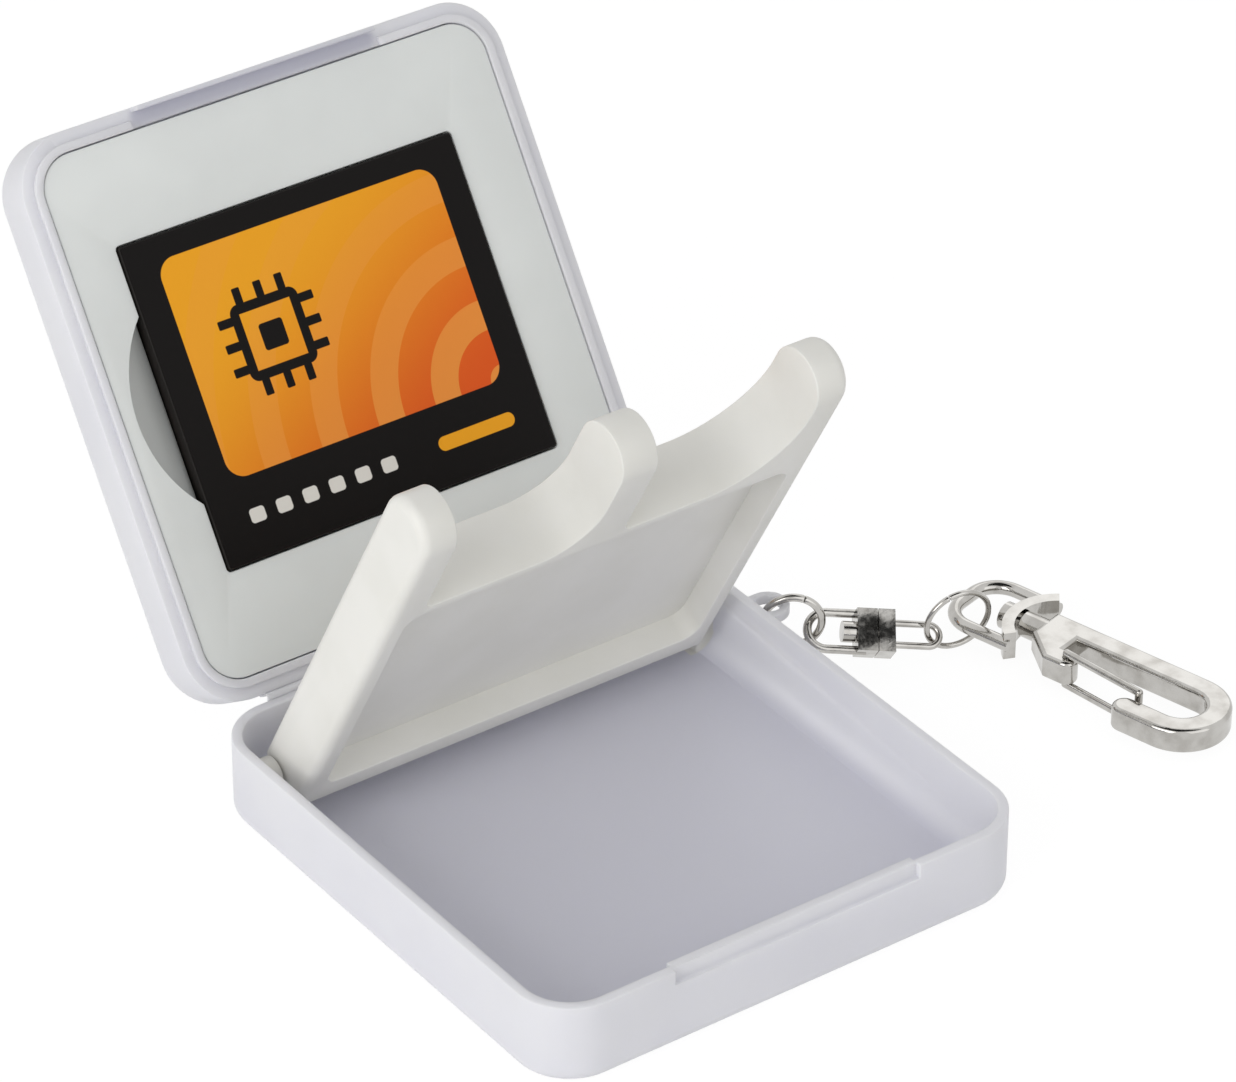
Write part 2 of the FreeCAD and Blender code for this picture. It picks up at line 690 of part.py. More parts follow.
def make_card():
    """Frame, two covers, connector and label of the memory card, drawn shut."""
    front = f"({CARD_FACE} + label_thick)"
    back = f"({CARD_FACE} + card_thick)"
    cover_w = "card_long - 2 * cover_margin"
    cover_d = "card_short - 2 * cover_margin"
    frame = card_plate("card_frame", "card_long", "card_short", "card_corner", front, f"{back} - {front}")
    for side, plane, upwards in (("front", front, True), ("back", back, False)):
        seat = rounded_rectangle(
            frame, f"{side}_seat_outline", cover_w, cover_d, "card_corner", ("-card_offset", "0", plane)
        )
        pocket(frame, f"{side}_seat", seat, "cover_thick", upwards)
    middle = f"({front} + {back}) / 2"
    edge_y = "card_short / 2"
    body_box(
        frame,
        "socket_room",
        "Subtractive",
        ("-card_offset - socket_width / 2", "-card_offset + socket_width / 2"),
        (f"{edge_y} - socket_depth", f"{edge_y} + cut_over"),
        (f"{middle} - socket_thick / 2", f"{middle} + socket_thick / 2"),
    )
    front_cover = card_plate("card_front_cover", cover_w, cover_d, "card_corner", front, "cover_thick")
    back_cover = card_plate(
        "card_back_cover", cover_w, cover_d, "card_corner", f"{back} - cover_thick", "cover_thick"
    )
    label = card_plate(
        "card_label",
        "card_long - 2 * label_margin",
        "card_short - 2 * label_margin",
        "card_corner",
        CARD_FACE,
        "label_thick",
    )
    connector = new_body("card_connector")
    body_box(
        connector,
        "socket_block",
        "Additive",
        ("-card_offset - socket_width / 2", "-card_offset + socket_width / 2"),
        (f"{edge_y} - socket_depth", f"{edge_y} - cover_thick"),
        (f"{middle} - socket_thick / 2", f"{middle} + socket_thick / 2"),
    )
    body_box(
        connector,
        "socket_slot_cut",
        "Subtractive",
        (
            "-card_offset - socket_width / 2 + socket_wall",
            "-card_offset + socket_width / 2 - socket_wall",
        ),
        (f"{edge_y} - socket_depth + socket_wall", edge_y),
        (f"{middle} - socket_slot / 2", f"{middle} + socket_slot / 2"),
    )
    return [frame, front_cover, back_cover, label, connector]


def make_leaf():
    """Leaf with three prongs, a pocket on its front and its pivot, drawn folded down."""
    body = new_body("card_leaf")
    low = "(base_floor + leaf_floor_gap)"
    high = "(base_floor + leaf_floor_gap + leaf_thick)"
    tip = "(pivot_y - leaf_length)"
    body_box(
        body,
        "leaf_slab",
        "Additive",
        ("-leaf_width / 2", "leaf_width / 2"),
        (tip, "pivot_y"),
        (low, high),
    )
    inner = "prong_middle / 2"
    outer = "leaf_width / 2 - prong_side"
    for side, left, right in (("left", f"-({outer})", f"-({inner})"), ("right", inner, outer)):
        scoop = scoop_outline(
            body,
            f"scoop_outline_{side}",
            (left, right),
            ("pivot_y - scoop_start", f"{tip} - cut_over"),
            ("scoop_corner", f"scoop_ramp_{side}"),
            low,
        )
        pocket(body, f"scoop_{side}", scoop, "leaf_thick", True)
    tip_y = number(tip)
    half_thick = "leaf_thick / 2 - prong_tip_flat / 2"
    fillet(body, "prong_tips", half_thick, lambda edge: lies_at(edge, "Y", tip_y) and along(edge, "X"))
    side_x = number("leaf_width") / 2
    fillet(
        body,
        "leaf_side_edges",
        "leaf_edge",
        lambda edge: along(edge, "Y") and abs(abs(edge.BoundBox.Center.x) - side_x) < 1e-3,
    )
    pocket_l = "(scoop_start - leaf_rail - leaf_pocket_start)"
    middle_y = f"pivot_y - leaf_pocket_start - {pocket_l} / 2"
    recess = rounded_rectangle(
        body,
        "leaf_pocket_outline",
        "leaf_pocket_width",
        pocket_l,
        "leaf_pocket_corner",
        ("0", middle_y, low),
    )
    pocket(body, "leaf_pocket", recess, "leaf_pocket_depth", True)
    body_cylinder(
        body,
        "leaf_heel",
        "Additive",
        "heel_radius",
        "leaf_width - 2 * leaf_edge",
        ("-leaf_width / 2 + leaf_edge", "pivot_y", PIVOT_Z),
        "X",
    )
    pin = "leaf_width / 2 + leaf_side_gap + leaf_pin_reach"
    body_cylinder(
        body,
        "leaf_pins",
        "Additive",
        "leaf_pin_radius",
        f"2 * ({pin})",
        (f"-({pin})", "pivot_y", PIVOT_Z),
        "X",
    )
    return body


def swivel_block(name, start, length):
    """Flat block across the swivel's line."""
    return solid(
        "Box",
        name,
        (start, "-collar_half", "-collar_thick / 2"),
        Length=length,
        Width="2 * collar_half",
        Height="collar_thick",
    )


def make_swivel():
    """Two loops and their rivet along X, the first loop's bend at the origin."""
    collar = "(loop_a_half + loop_a_leg)"
    block = f"({collar} + collar_length + swivel_gap)"
    bend_b = f"({block} + block_length + loop_b_leg)"
    bend_a = bend("loop_a_bend", ("loop_a_half", "0", "0"), "loop_a_half", "loop_a_wire", 90, 180)
    parts = [bend_a]
    for side, sign in (("left", ""), ("right", "-")):
        at = ("loop_a_half", f"{sign}loop_a_half", "0")
        parts.append(rod(f"loop_a_leg_{side}", at, "X", "loop_a_wire", "loop_a_leg + collar_length / 2"))
    parts.append(swivel_block("loop_a_block", collar, "collar_length"))
    bore = rod("collar_bore", (collar, "0", "0"), "X", "rivet_radius + rivet_play", "collar_length")
    loop_a = cut("swivel_loop_a", fuse("loop_a_whole", parts), bore)
    parts = [swivel_block("loop_b_block", block, "block_length")]
    for side, sign in (("left", ""), ("right", "-")):
        at = (f"{block} + block_length / 2", f"{sign}loop_b_half", "0")
        parts.append(rod(f"loop_b_leg_{side}", at, "X", "loop_b_wire", "loop_b_leg + block_length / 2"))
    parts.append(bend("loop_b_bend", (bend_b, "0", "0"), "loop_b_half", "loop_b_wire", -90, 180))
    loop_b = fuse("swivel_loop_b", parts)
    head = f"{collar} - swivel_gap - rivet_head_length"
    shaft_length = f"{block} - ({collar} - swivel_gap)"
    rivet = fuse(
        "swivel_rivet",
        [
            rod("rivet_head", (head, "0", "0"), "X", "rivet_head_radius", "rivet_head_length"),
            rod("rivet_shaft", (f"{collar} - swivel_gap", "0", "0"), "X", "rivet_radius", shaft_length),
        ],
    )
    length = number(f"{bend_b} + loop_b_half")
    return loop_a, loop_b, rivet, length


def make_eye():
    """Wire eye with an arched saddle; the clasp's line is X, the saddle's ends are at X = 0."""
    straight = "(eye_length - eye_corner - leg_end)"
    far = "-eye_length + eye_corner"
    inside = "(eye_half - eye_corner)"
    parts = []
    for side, sign, start in (("left", "", 90), ("right", "-", 180)):
        parts.append(rod(f"eye_leg_{side}", (far, f"{sign}eye_half", "0"), "X", "eye_wire", straight))
        at = (far, f"{sign}{inside}", "0")
        parts.append(bend(f"eye_bend_{side}", at, "eye_corner", "eye_wire", start, 90))
    parts.append(rod("eye_end", ("-eye_length", f"-{inside}", "0"), "Y", "eye_wire", f"2 * {inside}"))
    arch = "((eye_half ^ 2 + saddle_sag ^ 2) / (2 * saddle_sag))"
    centre = (f"{arch} - saddle_sag - leg_end", "0", "-saddle_height / 2")
    outer = rod("saddle_outer", centre, "Z", f"{arch} + saddle_thick / 2", "saddle_height")
    inner = rod("saddle_inner", centre, "Z", f"{arch} - saddle_thick / 2", "saddle_height")
    half_angle = math.degrees(math.asin(size["eye_half"] / number(arch)))
    for piece in (outer, inner):
        piece.Angle = 2 * half_angle
        piece.Placement = Placement(piece.Placement.Base, Rotation(Vector(0, 0, 1), 180 - half_angle))
    doc.recompute()
    parts.append(cut("saddle", outer, inner))
    bore = rod(
        "saddle_bore",
        ("-saddle_sag - leg_end - 2 * saddle_thick", "0", "0"),
        "X",
        "pin_radius + pin_play",
        "4 * saddle_thick",
    )
    return cut("clasp_eye", fuse("eye_whole", parts), bore)


def make_pin():
    """Pin from the head inside the eye to the hook's neck."""
    head_end = "(-saddle_sag - leg_end - saddle_thick / 2 - clasp_gap)"
    neck = "(-saddle_sag - leg_end + saddle_thick / 2 + neck_gap)"
    head_start = f"{head_end} - pin_head_length"
    head = rod("pin_head", (head_start, "0", "0"), "X", "pin_head_radius", "pin_head_length")
    shaft = rod("pin_shaft", (head_end, "0", "0"), "X", "pin_radius", f"{neck} - {head_end}")
    return fuse("clasp_pin", [head, shaft])


def make_hook():
    """Hook in the clasp's own frame: line along X, opening on -Y, flat in XY."""
    body = new_body("clasp_hook")
    low = "-hook_thick / 2"
    inside = "hook_back - hook_limb"
    ear_low = "-ear_across - ear_radius"
    ear_high = "-ear_across + ear_radius"
    corners = [
        ("hook_start", "hook_back"),
        ("hook_start", "-hook_back"),
        ("ear_root", ear_low),
        ("ear_along", ear_low),
        ("ear_along", ear_high),
        ("slot_start", ear_high),
        ("slot_start", inside),
        ("hook_reach", inside),
        ("hook_reach", "hook_back"),
    ]
    pad(body, "hook_shank", polygon(body, "hook_outline", corners, ("0", "0", low)), "hook_thick")
    bend_y = "hook_back - hook_round"
    nose_y = "hook_back - 2 * hook_round"
    outer = body_cylinder(
        body, "hook_bend", "Additive", "hook_round", "hook_thick", ("hook_reach", bend_y, low)
    )
    outer.Angle = 180
    outer.Placement = Placement(outer.Placement.Base, Rotation(Vector(0, 0, 1), -90))
    body_cylinder(
        body,
        "hook_bend_inside",
        "Subtractive",
        "hook_round - hook_limb",
        "hook_thick",
        ("hook_reach", bend_y, low),
    )
    body_box(
        body,
        "hook_nose",
        "Additive",
        ("nose_start", "hook_reach"),
        (nose_y, f"{nose_y} + hook_limb"),
        (low, "hook_thick / 2"),
    )
    body_cylinder(
        body,
        "hook_nose_end",
        "Additive",
        "hook_limb / 2",
        "hook_thick",
        ("nose_start", f"{nose_y} + hook_limb / 2", low),
    )
    body_cylinder(
        body, "hook_ear", "Additive", "ear_radius", "hook_thick", ("ear_along", "-ear_across", low)
    )
    half = size["hook_thick"] / 2
    fillet(
        body, "hook_edges", "hook_edge", lambda edge: lies_at(edge, "Z", half) or lies_at(edge, "Z", -half)
    )
    body_cylinder(
        body,
        "gate_bore",
        "Subtractive",
        "gate_wire + gate_play",
        "hook_thick",
        ("ear_along", "-ear_across", low),
    )
    neck = "(-saddle_sag - leg_end + saddle_thick / 2 + neck_gap)"
    neck_length = f"hook_start - {neck} + neck_root"
    body_cylinder(body, "hook_neck", "Additive", "neck_radius", neck_length, (neck, "0", "0"), "X")
    return body


def make_gate():
    """Wire gate in the hook's frame: pivot through the ear, end inside the nose."""
    end_x = "(nose_start + gate_past_nose - ear_along)"
    end_y = "(hook_back - 2 * hook_round + hook_limb + gate_nose_gap + gate_wire + ear_across)"
    turn = math.degrees(math.atan2(number(end_y), number(end_x)))
    span = f"sqrt({end_x} ^ 2 + {end_y} ^ 2)"
    parts = []
    for side, sign in (("upper", ""), ("lower", "-")):
        parts.append(rod(f"gate_leg_{side}", ("0", "0", f"{sign}gate_half"), "X", "gate_wire", span))
        for end, at in (("pivot", "0"), ("nose", span)):
            corner = solid("Sphere", f"gate_{end}_{side}", (at, "0", f"{sign}gate_half"), Radius="gate_wire")
            parts.append(corner)
    for end, at in (("pivot", "0"), ("nose", span)):
        parts.append(rod(f"gate_{end}_post", (at, "0", "-gate_half"), "Z", "gate_wire", "2 * gate_half"))
    gate = fuse("clasp_gate", parts)
    pivot = Vector(size["ear_along"], -size["ear_across"], 0)
    return gate, Placement(pivot, Rotation(Vector(0, 0, 1), turn))


base_shell = make_base()
lid_shell = make_lid()
living_hinge = make_hinge()
lid_insert = make_insert()
card_pieces = make_card()
card_leaf = make_leaf()
chain_ring_1 = torus("chain_ring_1", "ring_a_radius", "ring_a_wire")
swivel_loop_a, swivel_loop_b, swivel_rivet, swivel_length = make_swivel()
chain_ring_2 = torus("chain_ring_2", "ring_b_radius", "ring_b_wire")
clasp_eye = make_eye()
clasp_pin = make_pin()
clasp_hook = make_hook()
clasp_gate, gate_in_hook = make_gate()
doc.recompute()

lid_turn = turned_open(HINGE_Y, HINGE_Z, size["lid_open"])
for piece in [lid_shell, lid_insert] + card_pieces:
    piece.Placement = lid_turn
card_leaf.Placement = turned_open("pivot_y", PIVOT_Z, size["leaf_angle"])

eyelet = Vector(
    number(f"{HALF_W} + eyelet_reach"), number("eyelet_y"), number("base_height - eyelet_drop")
)
pull = heading_vector(size["ring_a_heading"], size["ring_a_slope"])
ring_a_middle = eyelet + pull * size["ring_a_radius"]
swivel_start = ring_a_middle + pull * number("ring_a_radius - ring_a_wire - loop_a_wire - link_gap")
swivel_drop = (swivel_start.z - size["swivel_end_height"]) / swivel_length
swivel_slope = math.degrees(math.asin(swivel_drop))
swivel_end = swivel_start + heading_vector(size["swivel_heading"], swivel_slope) * swivel_length
swivel_turn = Rotation(size["swivel_heading"], swivel_slope, size["swivel_roll"])
lift = size["ring_b_lift"]
sideways = heading_vector(size["ring_b_heading"])
to_swivel = math.sqrt(number("ring_b_radius - ring_b_wire - loop_b_wire - link_gap") ** 2 - lift**2)
to_eye = math.sqrt(number("ring_b_radius - ring_b_wire - eye_wire - link_gap") ** 2 - lift**2)
ring_b_middle = swivel_end + sideways * to_swivel + Vector(0, 0, lift)
eye_hold = swivel_end + sideways * (to_swivel + to_eye)
hook_tip = size["hook_reach"] + size["hook_round"] + size["eye_link"]
tip_drop = (eye_hold.z - size["hook_thick"] / 2 - size["floor_gap"]) / hook_tip
clasp_turn = Rotation(size["hook_heading"], math.degrees(math.asin(tip_drop)), 0)
clasp_middle = eye_hold + clasp_turn.multVec(Vector(size["eye_link"], size["eye_half"], 0))

ring_a_turn = Rotation(size["ring_a_heading"], 0, 90 + size["ring_a_tilt"])
chain_ring_1.Placement = Placement(ring_a_middle, ring_a_turn)
for piece in (swivel_loop_a, swivel_loop_b, swivel_rivet):
    piece.Placement = Placement(swivel_start, swivel_turn)
ring_b_turn = Rotation(size["ring_b_heading"], 0, 90 + size["ring_b_tilt"])
chain_ring_2.Placement = Placement(ring_b_middle, ring_b_turn)
for piece in (clasp_eye, clasp_pin, clasp_hook):
    piece.Placement = Placement(clasp_middle, clasp_turn)
clasp_gate.Placement = Placement(clasp_middle, clasp_turn).multiply(gate_in_hook)

pieces = [
    base_shell,
    lid_shell,
    living_hinge,
    lid_insert,
    card_leaf,
    chain_ring_1,
    swivel_loop_a,
    swivel_loop_b,
    swivel_rivet,
    chain_ring_2,
    clasp_eye,
    clasp_pin,
    clasp_hook,
    clasp_gate,
] + card_pieces

doc.recompute()
for item in doc.Objects:
    if "Invalid" in item.State or "Error" in item.State:
        raise RuntimeError(f"{item.Label} did not build: {item.State}")
os.makedirs("parts", exist_ok=True)
for piece in pieces:
    if piece.Shape.isNull() or not piece.Shape.isValid() or len(piece.Shape.Solids) != 1:
        raise RuntimeError(f"{piece.Label} is not one valid solid")
    piece.Shape.exportStep(f"parts/{piece.Label}.step")
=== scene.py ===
"""Memory card case: open tray and lid, swinging card leaf, memory card, and a chain with a snap clasp.

Lengths are metres in the row frame: X along the hinge, Y towards the hinge, Z up from the table.
"""
from __future__ import annotations

import json
import logging
import math
from dataclasses import dataclass, field
from enum import Enum
from functools import cache

import bmesh
import bpy
from mathutils import Matrix, Vector

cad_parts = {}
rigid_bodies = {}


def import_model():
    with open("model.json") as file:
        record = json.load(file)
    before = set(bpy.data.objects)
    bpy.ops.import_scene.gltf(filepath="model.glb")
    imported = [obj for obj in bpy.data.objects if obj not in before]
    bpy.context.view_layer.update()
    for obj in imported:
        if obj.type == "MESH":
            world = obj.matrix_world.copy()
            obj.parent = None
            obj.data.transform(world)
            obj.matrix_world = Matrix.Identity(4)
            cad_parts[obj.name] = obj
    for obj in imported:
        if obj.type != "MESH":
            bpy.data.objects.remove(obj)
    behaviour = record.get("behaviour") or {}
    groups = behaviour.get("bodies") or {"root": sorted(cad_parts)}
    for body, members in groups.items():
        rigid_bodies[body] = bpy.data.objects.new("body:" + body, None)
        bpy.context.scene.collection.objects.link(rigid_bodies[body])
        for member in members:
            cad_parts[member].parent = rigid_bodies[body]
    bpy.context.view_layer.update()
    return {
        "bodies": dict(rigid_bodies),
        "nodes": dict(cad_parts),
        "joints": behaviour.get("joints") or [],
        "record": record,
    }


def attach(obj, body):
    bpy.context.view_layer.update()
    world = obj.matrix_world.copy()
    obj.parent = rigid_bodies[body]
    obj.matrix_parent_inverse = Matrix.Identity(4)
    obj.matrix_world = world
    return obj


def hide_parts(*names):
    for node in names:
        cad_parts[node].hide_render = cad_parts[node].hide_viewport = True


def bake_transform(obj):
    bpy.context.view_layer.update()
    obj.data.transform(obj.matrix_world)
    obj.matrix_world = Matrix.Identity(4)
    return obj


LOG = logging.getLogger("memory_card_case")
MM = 0.001
# Points closer than this are one point.
WELD = 2e-6
# Half the width of a printed shape's soft border.
PRINT_EDGE = 0.05 * MM
# Outer edges that turn more than this are rounded off.
SHARP = math.radians(35)
# Edges that turn more than this stay sharp in the shading.
CREASE = math.radians(38)
# Neighbouring faces that turn less than this become one face.
FLAT = math.radians(0.5)
NOISE_MIDDLE = 0.5
WHITE = (1.0, 1.0, 1.0, 1.0)

Colour = tuple[float, float, float]
Triple = tuple[float, float, float]
Pair = tuple[float, float]
Nodes = dict[str, bpy.types.Object]
Input = "Signal | float | int | tuple | None"


class Signal:
    """One output of a node tree that Python operators can work on."""

    def __init__(self, graph: Graph, socket: bpy.types.NodeSocket) -> None:
        """Keep the tree and the socket."""
        self.graph = graph
        self.socket = socket

    def _math(self, operation: str, first: Input, second: Input = None) -> Signal:
        """Add one Math node.

        Args:
            operation: the node's operation.
            first: its first value.
            second: its second value, if it takes one.

        Returns:
            The node's result.
        """
        sockets = {0: first}
        if second is not None:
            sockets[1] = second
        return self.graph.node("ShaderNodeMath", {"operation": operation}, sockets)

    def __add__(self, other: Input) -> Signal:
        """Sum."""
        return self._math("ADD", self, other)

    def __radd__(self, other: Input) -> Signal:
        """Sum with the number first."""
        return self._math("ADD", other, self)

    def __sub__(self, other: Input) -> Signal:
        """Difference."""
        return self._math("SUBTRACT", self, other)

    def __rsub__(self, other: Input) -> Signal:
        """Difference with the number first."""
        return self._math("SUBTRACT", other, self)

    def __mul__(self, other: Input) -> Signal:
        """Product."""
        return self._math("MULTIPLY", self, other)

    def __rmul__(self, other: Input) -> Signal:
        """Product with the number first."""
        return self._math("MULTIPLY", other, self)

    def __truediv__(self, other: Input) -> Signal:
        """Quotient."""
        return self._math("DIVIDE", self, other)

    def __pow__(self, other: Input) -> Signal:
        """Power."""
        return self._math("POWER", self, other)

    def __abs__(self) -> Signal:
        """Size without its sign."""
        return self._math("ABSOLUTE", self)

    def most(self, other: Input) -> Signal:
        """The larger of two values."""
        return self._math("MAXIMUM", self, other)

    def least(self, other: Input) -> Signal:
        """The smaller of two values."""
        return self._math("MINIMUM", self, other)

    def root(self) -> Signal:
        """Square root."""
        return self._math("SQRT", self)

    def repeated(self, step: float) -> Signal:
        """Place within a row of equal steps, 0 in the middle of each."""
        sockets = {0: self, 1: step / 2, 2: -step / 2}
        return self.graph.node("ShaderNodeMath", {"operation": "WRAP"}, sockets)

    def ramp(self, low: float, high: float) -> Signal:
        """Smooth step from 0 at low to 1 at high.

        Args:
            low: where the step starts.
            high: where the step ends.

        Returns:
            The step's value.
        """
        if high < low:
            return 1 - self.ramp(high, low)
        sockets = {"Value": self, "From Min": low, "From Max": high}
        return self.graph.node("ShaderNodeMapRange", {"interpolation_type": "SMOOTHSTEP"}, sockets)

    def printed(self) -> Signal:
        """1 inside a drawn outline and 0 outside, from the distance to it."""
        return self.ramp(PRINT_EDGE, -PRINT_EDGE)

    def along(self, direction: Vector) -> Signal:
        """Length of a vector signal along a fixed direction."""
        sockets = {0: self, 1: tuple(direction)}
        return self.graph.node("ShaderNodeVectorMath", {"operation": "DOT_PRODUCT"}, sockets, "Value")


@dataclass(frozen=True)
class Grain:
    """Even noise: width of its spots, octaves of detail, and how much finer it is along each axis."""

    size: float
    detail: float = 2.0
    stretch: Triple = (1.0, 1.0, 1.0)


class Graph:
    """Node tree of one material or of the world."""

    def __init__(self, owner: bpy.types.ID) -> None:
        """Start an empty tree on the owner."""
        owner.use_nodes = True
        self.tree = owner.node_tree
        self.tree.nodes.clear()

    def node(
        self,
        kind: str,
        settings: dict[str, object] | None = None,
        sockets: dict[str | int, Input] | None = None,
        output: str | int = 0,
    ) -> Signal:
        """Add one node.

        Args:
            kind: the node's type.
            settings: properties that are set first.
            sockets: values or links of its inputs.
            output: the output that is wanted.

        Returns:
            That output.
        """
        made = self.tree.nodes.new(kind)
        for key, value in (settings or {}).items():
            setattr(made, key, value)
        for key, value in (sockets or {}).items():
            if isinstance(value, Signal):
                self.tree.links.new(value.socket, made.inputs[key])
            else:
                made.inputs[key].default_value = value
        return Signal(self, made.outputs[output] if made.outputs else None)

    def place(self) -> Signal:
        """Point on the piece, in metres in the row frame."""
        return self.node("ShaderNodeTexCoord", output="Object")

    def noise(self, grain: Grain) -> Signal:
        """Even noise, a value around NOISE_MIDDLE."""
        sockets = {0: self.place(), 1: grain.stretch}
        scaled = self.node("ShaderNodeVectorMath", {"operation": "MULTIPLY"}, sockets)
        sockets = {"Vector": scaled, "Scale": 1.0 / grain.size, "Detail": grain.detail}
        return self.node("ShaderNodeTexNoise", {}, sockets, "Fac")

    def blend(self, share: Input, first: Input, second: Input) -> Signal:
        """Colour between two colours.

        Args:
            share: 0 for the first, 1 for the second.
            first: one colour.
            second: the other colour.

        Returns:
            The mixed colour.
        """
        sockets = {0: share, 6: rgba(first), 7: rgba(second)}
        return self.node("ShaderNodeMix", {"data_type": "RGBA"}, sockets, 2)

    def bump(self, height: Signal, depth: float, strength: float) -> Signal:
        """Normal of a surface raised by a height signal.

        Args:
            height: the relief, 0 to 1.
            depth: its depth in metres.
            strength: how much of it shows.

        Returns:
            The normal.
        """
        sockets = {"Height": height, "Distance": depth, "Strength": strength}
        return self.node("ShaderNodeBump", {}, sockets)

    def surface(self, **sockets: Input) -> None:
        """Close the tree with a Principled surface.

        Args:
            **sockets: its inputs, with an underscore for each space.
        """
        named = {key.replace("_", " "): value for key, value in sockets.items()}
        shader = self.node("ShaderNodeBsdfPrincipled", {}, named)
        self.node("ShaderNodeOutputMaterial", {}, {"Surface": shader})


def rgba(colour: Input) -> Input:
    """Colour with its fourth part, or the signal as it is."""
    if isinstance(colour, Signal):
        return colour
    return (*colour, 1.0)


def screen(red: int, green: int, blue: int) -> Colour:
    """Linear colour of a screen colour.

    Args:
        red: 0 to 255.
        green: 0 to 255.
        blue: 0 to 255.

    Returns:
        The linear colour.
    """
    parts = []
    for part in (red, green, blue):
        # The usual screen curve: straight near black, a power above.
        share = part / 255
        parts.append(share / 12.92 if share <= 0.04045 else ((share + 0.055) / 1.055) ** 2.4)
    return (parts[0], parts[1], parts[2])


def plate_distance(across: Signal, upward: Signal, middle: Pair, half: Pair, corner: float) -> Signal:
    """Distance to the outline of a rounded plate, negative inside it.

    Args:
        across: place along the plate's width.
        upward: place along its height.
        middle: its middle.
        half: half its width and height.
        corner: its corner radius.

    Returns:
        The distance.
    """
    over_x = abs(across - middle[0]) - (half[0] - corner)
    over_y = abs(upward - middle[1]) - (half[1] - corner)
    outside = (over_x.most(0.0) ** 2 + over_y.most(0.0) ** 2).root()
    return outside + over_x.most(over_y).least(0.0) - corner


@dataclass(frozen=True)
class HingeLine:
    """Line along X that the lid turns about, and how far it stands open, in degrees."""

    line_y: float = 32.35 * MM
    line_z: float = 9.875 * MM
    angle: float = 124.0

    def point(self) -> Vector:
        """Point of the line in the middle of the case."""
        return Vector((0.0, self.line_y, self.line_z))

    def opened(self) -> Matrix:
        """Turn from the shut place to the place at rest."""
        middle = Matrix.Translation(self.point())
        return middle @ Matrix.Rotation(-math.radians(self.angle), 4, "X") @ middle.inverted()


LID_HINGE = HingeLine()


class Slot(Enum):
    """The record's finishes."""

    FROSTED = "frosted_plastic"
    WHITE = "white_plastic"
    CARD_BLACK = "card_plastic"
    CARD_METAL = "card_metal"
    CARD_PRINT = "card_print"
    NICKEL = "nickel"


@dataclass(frozen=True)
class Finish:
    """What every finish has: a name, a slot and its shader."""

    name: str
    slot: Slot

    def paint(self, graph: Graph) -> None:
        """Fill the material's tree."""
        raise NotImplementedError


@cache
def material_of(finish: Finish) -> bpy.types.Material:
    """Material of a finish, made once."""
    made = bpy.data.materials.new(finish.name)
    finish.paint(Graph(made))
    return made


@dataclass(frozen=True)
class FrostedPlastic(Finish):
    """Milky see-through plastic with a fine mould grain."""

    name: str = "milky_plastic"
    slot: Slot = Slot.FROSTED
    pale: Colour = screen(236, 236, 241)
    deep: Colour = screen(232, 232, 238)
    roughness: float = 0.42
    gloss_span: float = 0.16
    index: float = 1.47
    clearness: float = 0.12
    milk: float = 0.7
    milk_colour: Colour = (1.0, 1.0, 1.05)
    milk_depth: float = 1.6 * MM
    grain: Grain = Grain(0.22 * MM)
    grain_depth: float = 0.012 * MM
    grain_share: float = 0.35
    cloud: Grain = Grain(14 * MM)
    cloud_range: Pair = (0.3, 0.7)
    smear: Grain = Grain(5 * MM, 4.0, (1.0, 1.0, 3.0))

    def paint(self, graph: Graph) -> None:
        """Clouded tint, uneven gloss and grain."""
        smears = graph.noise(self.smear)
        graph.surface(
            Base_Color=self.tint(graph),
            Roughness=self.roughness + (smears - NOISE_MIDDLE) * self.gloss_span,
            IOR=self.index,
            Transmission_Weight=self.clearness,
            Subsurface_Weight=self.milk,
            Subsurface_Radius=self.milk_colour,
            Subsurface_Scale=self.milk_depth,
            Normal=graph.bump(self.relief(graph), self.grain_depth, self.grain_share),
        )

    def tint(self, graph: Graph) -> Signal:
        """Clouded base colour."""
        return graph.blend(graph.noise(self.cloud).ramp(*self.cloud_range), self.pale, self.deep)

    def relief(self, graph: Graph) -> Signal:
        """Height of the mould grain."""
        return graph.noise(self.grain)


